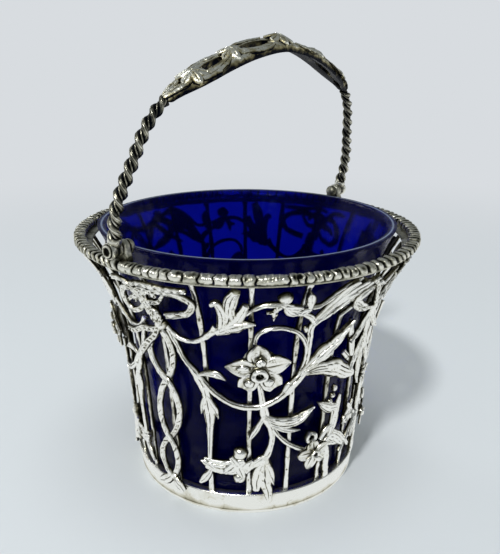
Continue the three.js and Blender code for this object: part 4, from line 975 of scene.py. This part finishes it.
# Point of the leaning handle from its own plane: turned about X by the lean, then raised to the hinges
def leaned(x, y, z):
    return np.stack([x, y * math.cos(lean) - z * math.sin(lean),
                     y * math.sin(lean) + z * math.cos(lean) + hinge["height"]], -1)


# Place of the centre line at a length from its near foot
def onLine(run):
    return np.interp(run, lineRun, handleLine[:, 0]), np.interp(run, lineRun, handleLine[:, 1])


# Point at a length from the handle's middle, off it by across (square to the plane) and lift (outwards)
def onHandle(length, across, lift):
    run = np.clip(np.asarray(length, float) + halfRun, 0, lineRun[-1])
    x, z = onLine(run)
    ahead, back = onLine(np.minimum(run + 0.4, lineRun[-1])), onLine(np.maximum(run - 0.4, 0))
    dx, dz = ahead[0] - back[0], ahead[1] - back[1]
    size = np.hypot(dx, dz)
    x, z = x - dz / size * lift, z + dx / size * lift
    return leaned(x, across * np.ones_like(x), z)


# Arm of two thick strands with two thin wires in the valleys between them, all twisted the same way round.
# Strand: centre at r * offset, round of r * thick, and r falls evenly from the foot to the top. Strands are
# [quarter turn, offset, thick]
armStrands = [(0, 0.49, 0.54), (2, 0.49, 0.54), (1, 0.42, 0.19), (3, 0.42, 0.19)]


def armShells(hand):
    parts = []
    start, end = halfRun - handle["neck"] - 0.1, handle["archReach"] + 0.1
    length = np.linspace(start, end, 240)[:, None]
    share = (start - length) / (start - end)
    r = handle["armFoot"] + (handle["armTop"] - handle["armFoot"]) * share
    section = around(28)[None, :]
    crest = np.abs((section + np.pi) % fullTurn - np.pi)  # 0 where the strand faces out
    for quarter, offset, thick in armStrands:
        isWire = thick < 0.3
        twist = hand * (fullTurn * length / handle["pitch"] + quarter * np.pi / 2)
        groove = 0.1 * bell(crest - 0.5, 0.2) * (not isWire)
        own = r * thick * (1 - groove)
        offLift = r * offset * np.cos(twist) + own * np.cos(section + twist)
        offAcross = r * offset * np.sin(twist) + own * np.sin(section + twist)
        grid = onHandle(hand * length, offAcross, offLift)
        # recess here is painted shade: strands darken where they face inwards, in their groove and towards
        # the arch, and the thin wires more in the valleys
        far = np.hypot(offLift, offAcross) / (r * (offset + thick))
        darkening = 0.16 * share ** 0.7 + isWire * 0.14
        parts.append(shell(grid, held(1.75 - 1.55 * far + groove * 2.2 + darkening)))
    return parts


# eye: a barrel on the pin with a raised ring at its outer end, [radius, distance along X, recess], and a neck
# that the strands spring from, [radius, recess]
# recess of the eye is painted shade at the barrel's ends and in its hollow, and at both ends of the neck
eyeBarrel = [(1.0, 48.0, 0.8), (1.6, 48.02, 0.3), (1.78, 48.2, 0.1), (1.75, 48.7, 0.3), (1.55, 49.0, 0.8),
             (1.6, 49.6, 0.6), (1.95, 50.1, 0.3), (2.1, 50.6, 0.1), (2.08, 51.2, 0.05), (1.95, 51.5, 0.15),
             (1.8, 51.45, 0.5), (1.72, 51.2, 1), (1.0, 51.1, 1)]
eyeNeck = np.array([(1.3, 0.9), (1.5, 0.7), (1.62, 0.6), (1.7, 0.5), (1.74, 0.4), (1.76, 0.3), (1.76, 0.2),
                    (1.72, 0.2), (1.64, 0.3), (1.4, 0.8)])


# Eye: the barrel goes round X and leans with the handle, and the neck follows the centre line
def eyeShells(hand):
    barrel = turnedAlongX([(r, hand * x) for r, x, _ in eyeBarrel], 0, [step[2] for step in eyeBarrel], 36)
    barrel["grid"] = leaned(*np.moveaxis(barrel["grid"], -1, 0))
    length = np.linspace(halfRun - 0.6, halfRun - handle["neck"] - 0.3, len(eyeNeck))[:, None]
    section, r = around(24)[None, :], eyeNeck[:, :1]
    grid = onHandle(hand * length, r * np.sin(section), r * np.cos(section))
    return [barrel, shell(grid, eyeNeck[:, 1:])]


# openwork arch: broad rails round oval holes, with leaves over them, in millimetres from the arch's middle.
# Its half width is archOuter at the lengths of archPlaces
archHoles = [(9.4, 4.6, 1.8), (25.2, 4.6, 1.2), (35.8, 2.2, 0.8)]  # length, half length, half width
archPlaces = [0, 10, 20, 27, 31, 34, 37, 39, 40.8]
archOuter = [4.1, 4.15, 4.05, 3.75, 3.3, 2.7, 1.95, 1.5, 1.2]
archRail = dict(middle=0.15, leastWide=1.1, endStart=39.6, endLength=1.25, across=15, below=7, flowerAt=18.2)
archBend = 0.7  # how far the edges of the arch turn down
archLeaves = [  # places are [length from the middle, across]
    dict(places=[(31, 3.1), (27, 3.5), (23.4, 2.9), (19.4, 1.6)],
         widths=[1.4, 2.4, 2.4, 0.8], lobes=2, depth=0.2),
    dict(places=[(16, 2.4), (12.4, 3.3), (8.4, 3.4), (4.4, 2.6)],
         widths=[1.2, 2.2, 2.3, 0.8], lobes=2, depth=0.2),
    dict(places=[(41, 0.2), (39, 0.7), (36.6, 1.2), (33.6, 1.9)], widths=[1.4, 2.2, 2.4, 0.8], lobes=0)]
archFlower = dict(low=0.8, petals=[dict(turn=turn, length=3.9, width=2.9, dome=1.15, rise=-0.8,
                                        shape=(0.6, 0.95, 1.08, 1.08, 0.9, 0.45))
                                   for turn in range(12, 372, 60)])


# The arch's outside: lower by bend * (across / half width)^2 towards its edges
def onArch(length, across, lift):
    return onHandle(length, across, lift - archBend * (np.asarray(across) / handle["archHalf"]) ** 2)


# Inner edge of a rail: it waves in to the middle between the holes, and at a hole it goes out to the half
# width by (1 - (x / halfLength)^2)^0.5
def holeEdge(length):
    middle = archRail["middle"]
    ovals = [(wide - middle) * np.sqrt(held(1 - ((np.abs(length) - at) / long) ** 2))
             for at, long, wide in archHoles]
    return middle + np.max(ovals, axis=0)


# Rail: v runs across its top from the inner to the outer edge, and below runs back. Its top falls to both
# edges by 1 - (1 - v^4)^0.5, and its ends are rounded by (1 - x^2)^0.5 over the last endLength
def archRails():
    rail, thick = archRail, handle["archThick"]
    length = np.linspace(-handle["archReach"], handle["archReach"], 330)
    far = np.abs(length)
    outer = np.interp(far, archPlaces, archOuter)
    inner = np.minimum(holeEdge(length), outer - rail["leastWide"])
    past = ((far - rail["endStart"]) / rail["endLength"]) ** 2 * (far > rail["endStart"])
    ending = np.sqrt(np.clip(1 - past, 0.05, 1))[:, None]
    v, below = np.linspace(-1, 1, rail["across"]), np.linspace(1, -1, rail["below"])
    middle, wide = (outer + inner)[:, None] / 2, (outer - inner)[:, None] / 2
    crown = 1 - np.where(v > 0, 0.6, 0.1) * (1 - np.sqrt(held(1 - v ** 4)))
    low = -thick / 2 - 0.1 + 0.2 * (1 - np.sqrt(held(1 - 0.9 * below ** 2)))
    # painted shade on both edges of the rail's top and on its underside
    recess = np.ones(rail["across"] + rail["below"])
    recess[:rail["across"]] = 0.24 + 0.6 * held(-v) ** 6 + 0.6 * held(v) ** 7
    recess[-1] = 0.8
    rails = []
    for side in (-1, 1):
        lumps = 0.16 * uneven(length[:, None] * 1.2 + v[None, :], 31 + side) * (1 - v ** 2)[None, :]
        top = -thick / 2 + thick * (0.92 * crown)[None, :] * ending + lumps
        lift = np.concatenate([top, low[None, :] * ending], 1)
        across = side * np.concatenate([middle + wide * v, middle + wide * below * 0.97], 1)
        across = across * (0.3 + 0.7 * ending)
        rails.append(shell(onArch(length[:, None], across, lift), recess))
    return rails


# Arch: its rails, its leaves in pairs to both ends, and a small flower at each end
def archShells():
    parts = archRails()
    for end in (-1, 1):
        for k in range(2 * len(archLeaves)):
            leaf = archLeaves[k // 2]
            places = leaf["places"] * np.array([end, (1, -1)[k % 2]])
            half = widths(leaf["widths"], leaf["lobes"], leaf.get("depth", 0.0))
            relief = leafRelief(0.7, seed=k * 1.3)
            parts.append(castStrip(onArch, places, half, relief, 0.45 + 0.06 * (k % 3), 0.25, 17))
    for place in (-archRail["flowerAt"], archRail["flowerAt"]):
        parts += flowerShells(onArch, (place, 0), archFlower["petals"], 0.62, 0.92)
        parts.append(boss(onArch, (place, 0), domeProfile(1.5, 0.6, 2.0), 20))
    return parts


# Flower on the arch: its petals and a domed middle
def archFlowerShells(length):
    low = archFlower["low"]
    dome = boss(onArch, (length, 0), domeProfile(1.6, low, low + 1.4), 20)
    return flowerShells(onArch, (length, 0), archFlower["petals"], low) + [dome]


for end, hand in (("Far", 1), ("Near", -1)):
    handlePiece("handleEye" + end, eyeShells(hand), "handle_eye_" + end.lower(), tarnishedShadedSilver, 50)
    handlePiece("handleArm" + end, armShells(hand), "handle_arm_" + end.lower(), tarnishedShadedSilver, 60)
handlePiece("handleArch", archShells(), "handle_arch")
for end, length in (("Near", -31.6), ("Middle", 0), ("Far", 31.6)):
    handlePiece("handleFlower" + end, archFlowerShells(length), "handle_flower_" + end.lower())
print("handle made")

# stage: pale floor, soft lamps and a pale room behind them

stageLook = dict(floor="d1d6d9", ground="d8dce0", world="d2d9dc", forDiffuse=0.5, forGloss=0.3, through=0.45,
                 gloss="e9ecee", fade=(0.12, 0.55))
floorMesh = bpy.data.meshes.new("floor")
radii, sides = np.array([0.05, 0.2, 0.4, 0.8, 1.6, 3.2])[:, None], 64
turn = around(sides)
floorPoints = np.stack([radii * np.cos(turn), radii * np.sin(turn), radii * turn * 0], -1)
i, j = np.arange(len(radii) - 1)[:, None], np.arange(sides)[None, :]
after = (j + 1) % sides
floorQuads = np.stack([i * sides + j, (i + 1) * sides + j, (i + 1) * sides + after, i * sides + after], -1)
floorFaces = floorQuads.reshape(-1, 4).tolist() + [list(range(sides))]
floorMesh.from_pydata(floorPoints.reshape(-1, 3).tolist(), [], floorFaces)
floor = bpy.data.objects.new("floor", floorMesh)
bpy.context.scene.collection.objects.link(floor)


# Floor that takes shadows near the object and fades into the colour of the room further out, by fade * seen.
# Metal and glass mirror its gloss colour
def floorMaterial():
    made, tree = newMaterial("paleFloor")
    place = addNode(tree, "TexCoord", out="Object")
    distance = addNode(tree, "VectorMath", {0: place}, out="Value", operation="LENGTH")
    fade = mapped(tree, distance, *stageLook["fade"], interpolation_type="SMOOTHSTEP")
    ray = addNode(tree, "LightPath").node.outputs
    seen = calc(tree, "MAXIMUM", ray["Is Camera Ray"], ray["Is Glossy Ray"])
    seen = calc(tree, "MAXIMUM", seen, ray["Is Transmission Ray"])
    matte = addNode(tree, "BsdfDiffuse", {"Color": linear(stageLook["floor"])})
    room = addNode(tree, "Emission", {"Color": linear(stageLook["ground"]), "Strength": 1.0})
    mixed = addNode(tree, "MixShader", {0: calc(tree, "MULTIPLY", fade, seen), 1: matte, 2: room})
    card = addNode(tree, "Emission", {"Color": linear(stageLook["gloss"]), "Strength": 1.0})
    mixed = addNode(tree, "MixShader", {0: ray["Is Glossy Ray"], 1: mixed, 2: card})
    addNode(tree, "OutputMaterial", {"Surface": mixed})
    return made


floorMesh.materials.append(floorMaterial())

world = bpy.data.worlds.new("room")
bpy.context.scene.world = world
world.use_nodes = True
tree = world.node_tree
tree.nodes.clear()
ray = addNode(tree, "LightPath").node.outputs
dim = calc(tree, "MULTIPLY_ADD", ray["Is Glossy Ray"], stageLook["forGloss"] - stageLook["forDiffuse"],
           stageLook["forDiffuse"])
glow = addNode(tree, "Background", {"Color": linear(stageLook["world"]), "Strength": dim})
behind = addNode(tree, "Background", {"Color": linear(stageLook["ground"]), "Strength": 1.0})
seen = calc(tree, "MULTIPLY", ray["Is Transmission Ray"], stageLook["through"])
seen = calc(tree, "MAXIMUM", ray["Is Camera Ray"], seen)
mixed = addNode(tree, "MixShader", {0: seen, 1: glow, 2: behind})
addNode(tree, "OutputWorld", {"Surface": mixed})

# lamps: place in metres as [right of the camera's view, towards the camera, up], size and watts. Cards are
# only mirrored, and the lamp overhead isn't, so that it leaves no wide pale patch on the glass
toRight = np.array([0.637, -0.771, 0])
toCamera = np.array([-0.771, -0.637, 0])
aimHeight = 0.05
lamps = [dict(name="window", at=(-0.42, 1.06, 1.28), size=0.18, power=18.0),
         dict(name="secondWindow", at=(-0.9, -1.0, 1.2), size=0.4, power=2.0),
         dict(name="overhead", at=(0.1, 0.15, 1.8), size=1.0, power=8.6),
         dict(name="leftCard", at=(-1.0, -0.25, 0.35), size=0.7, power=0.9),
         dict(name="rightCard", at=(1.0, -0.3, 0.35), size=0.5, power=0.5)]
for lamp in lamps:
    light = bpy.data.lights.new(lamp["name"], "AREA")
    light.shape, light.size, light.energy = "DISK", lamp["size"], lamp["power"]
    lampObject = bpy.data.objects.new(lamp["name"], light)
    spot = toRight * lamp["at"][0] + toCamera * lamp["at"][1] + np.array([0, 0, lamp["at"][2]])
    aim = np.array([0, 0, aimHeight]) - spot
    lampObject.location = spot
    lampObject.rotation_euler = Vector(aim).to_track_quat("-Z", "Y").to_euler()
    lampObject.visible_glossy = lamp["name"] != "overhead"
    lampObject.visible_diffuse = "Card" not in lamp["name"]
    bpy.context.scene.collection.objects.link(lampObject)

bpy.context.scene.view_settings.view_transform = "Standard"
print("stage made")
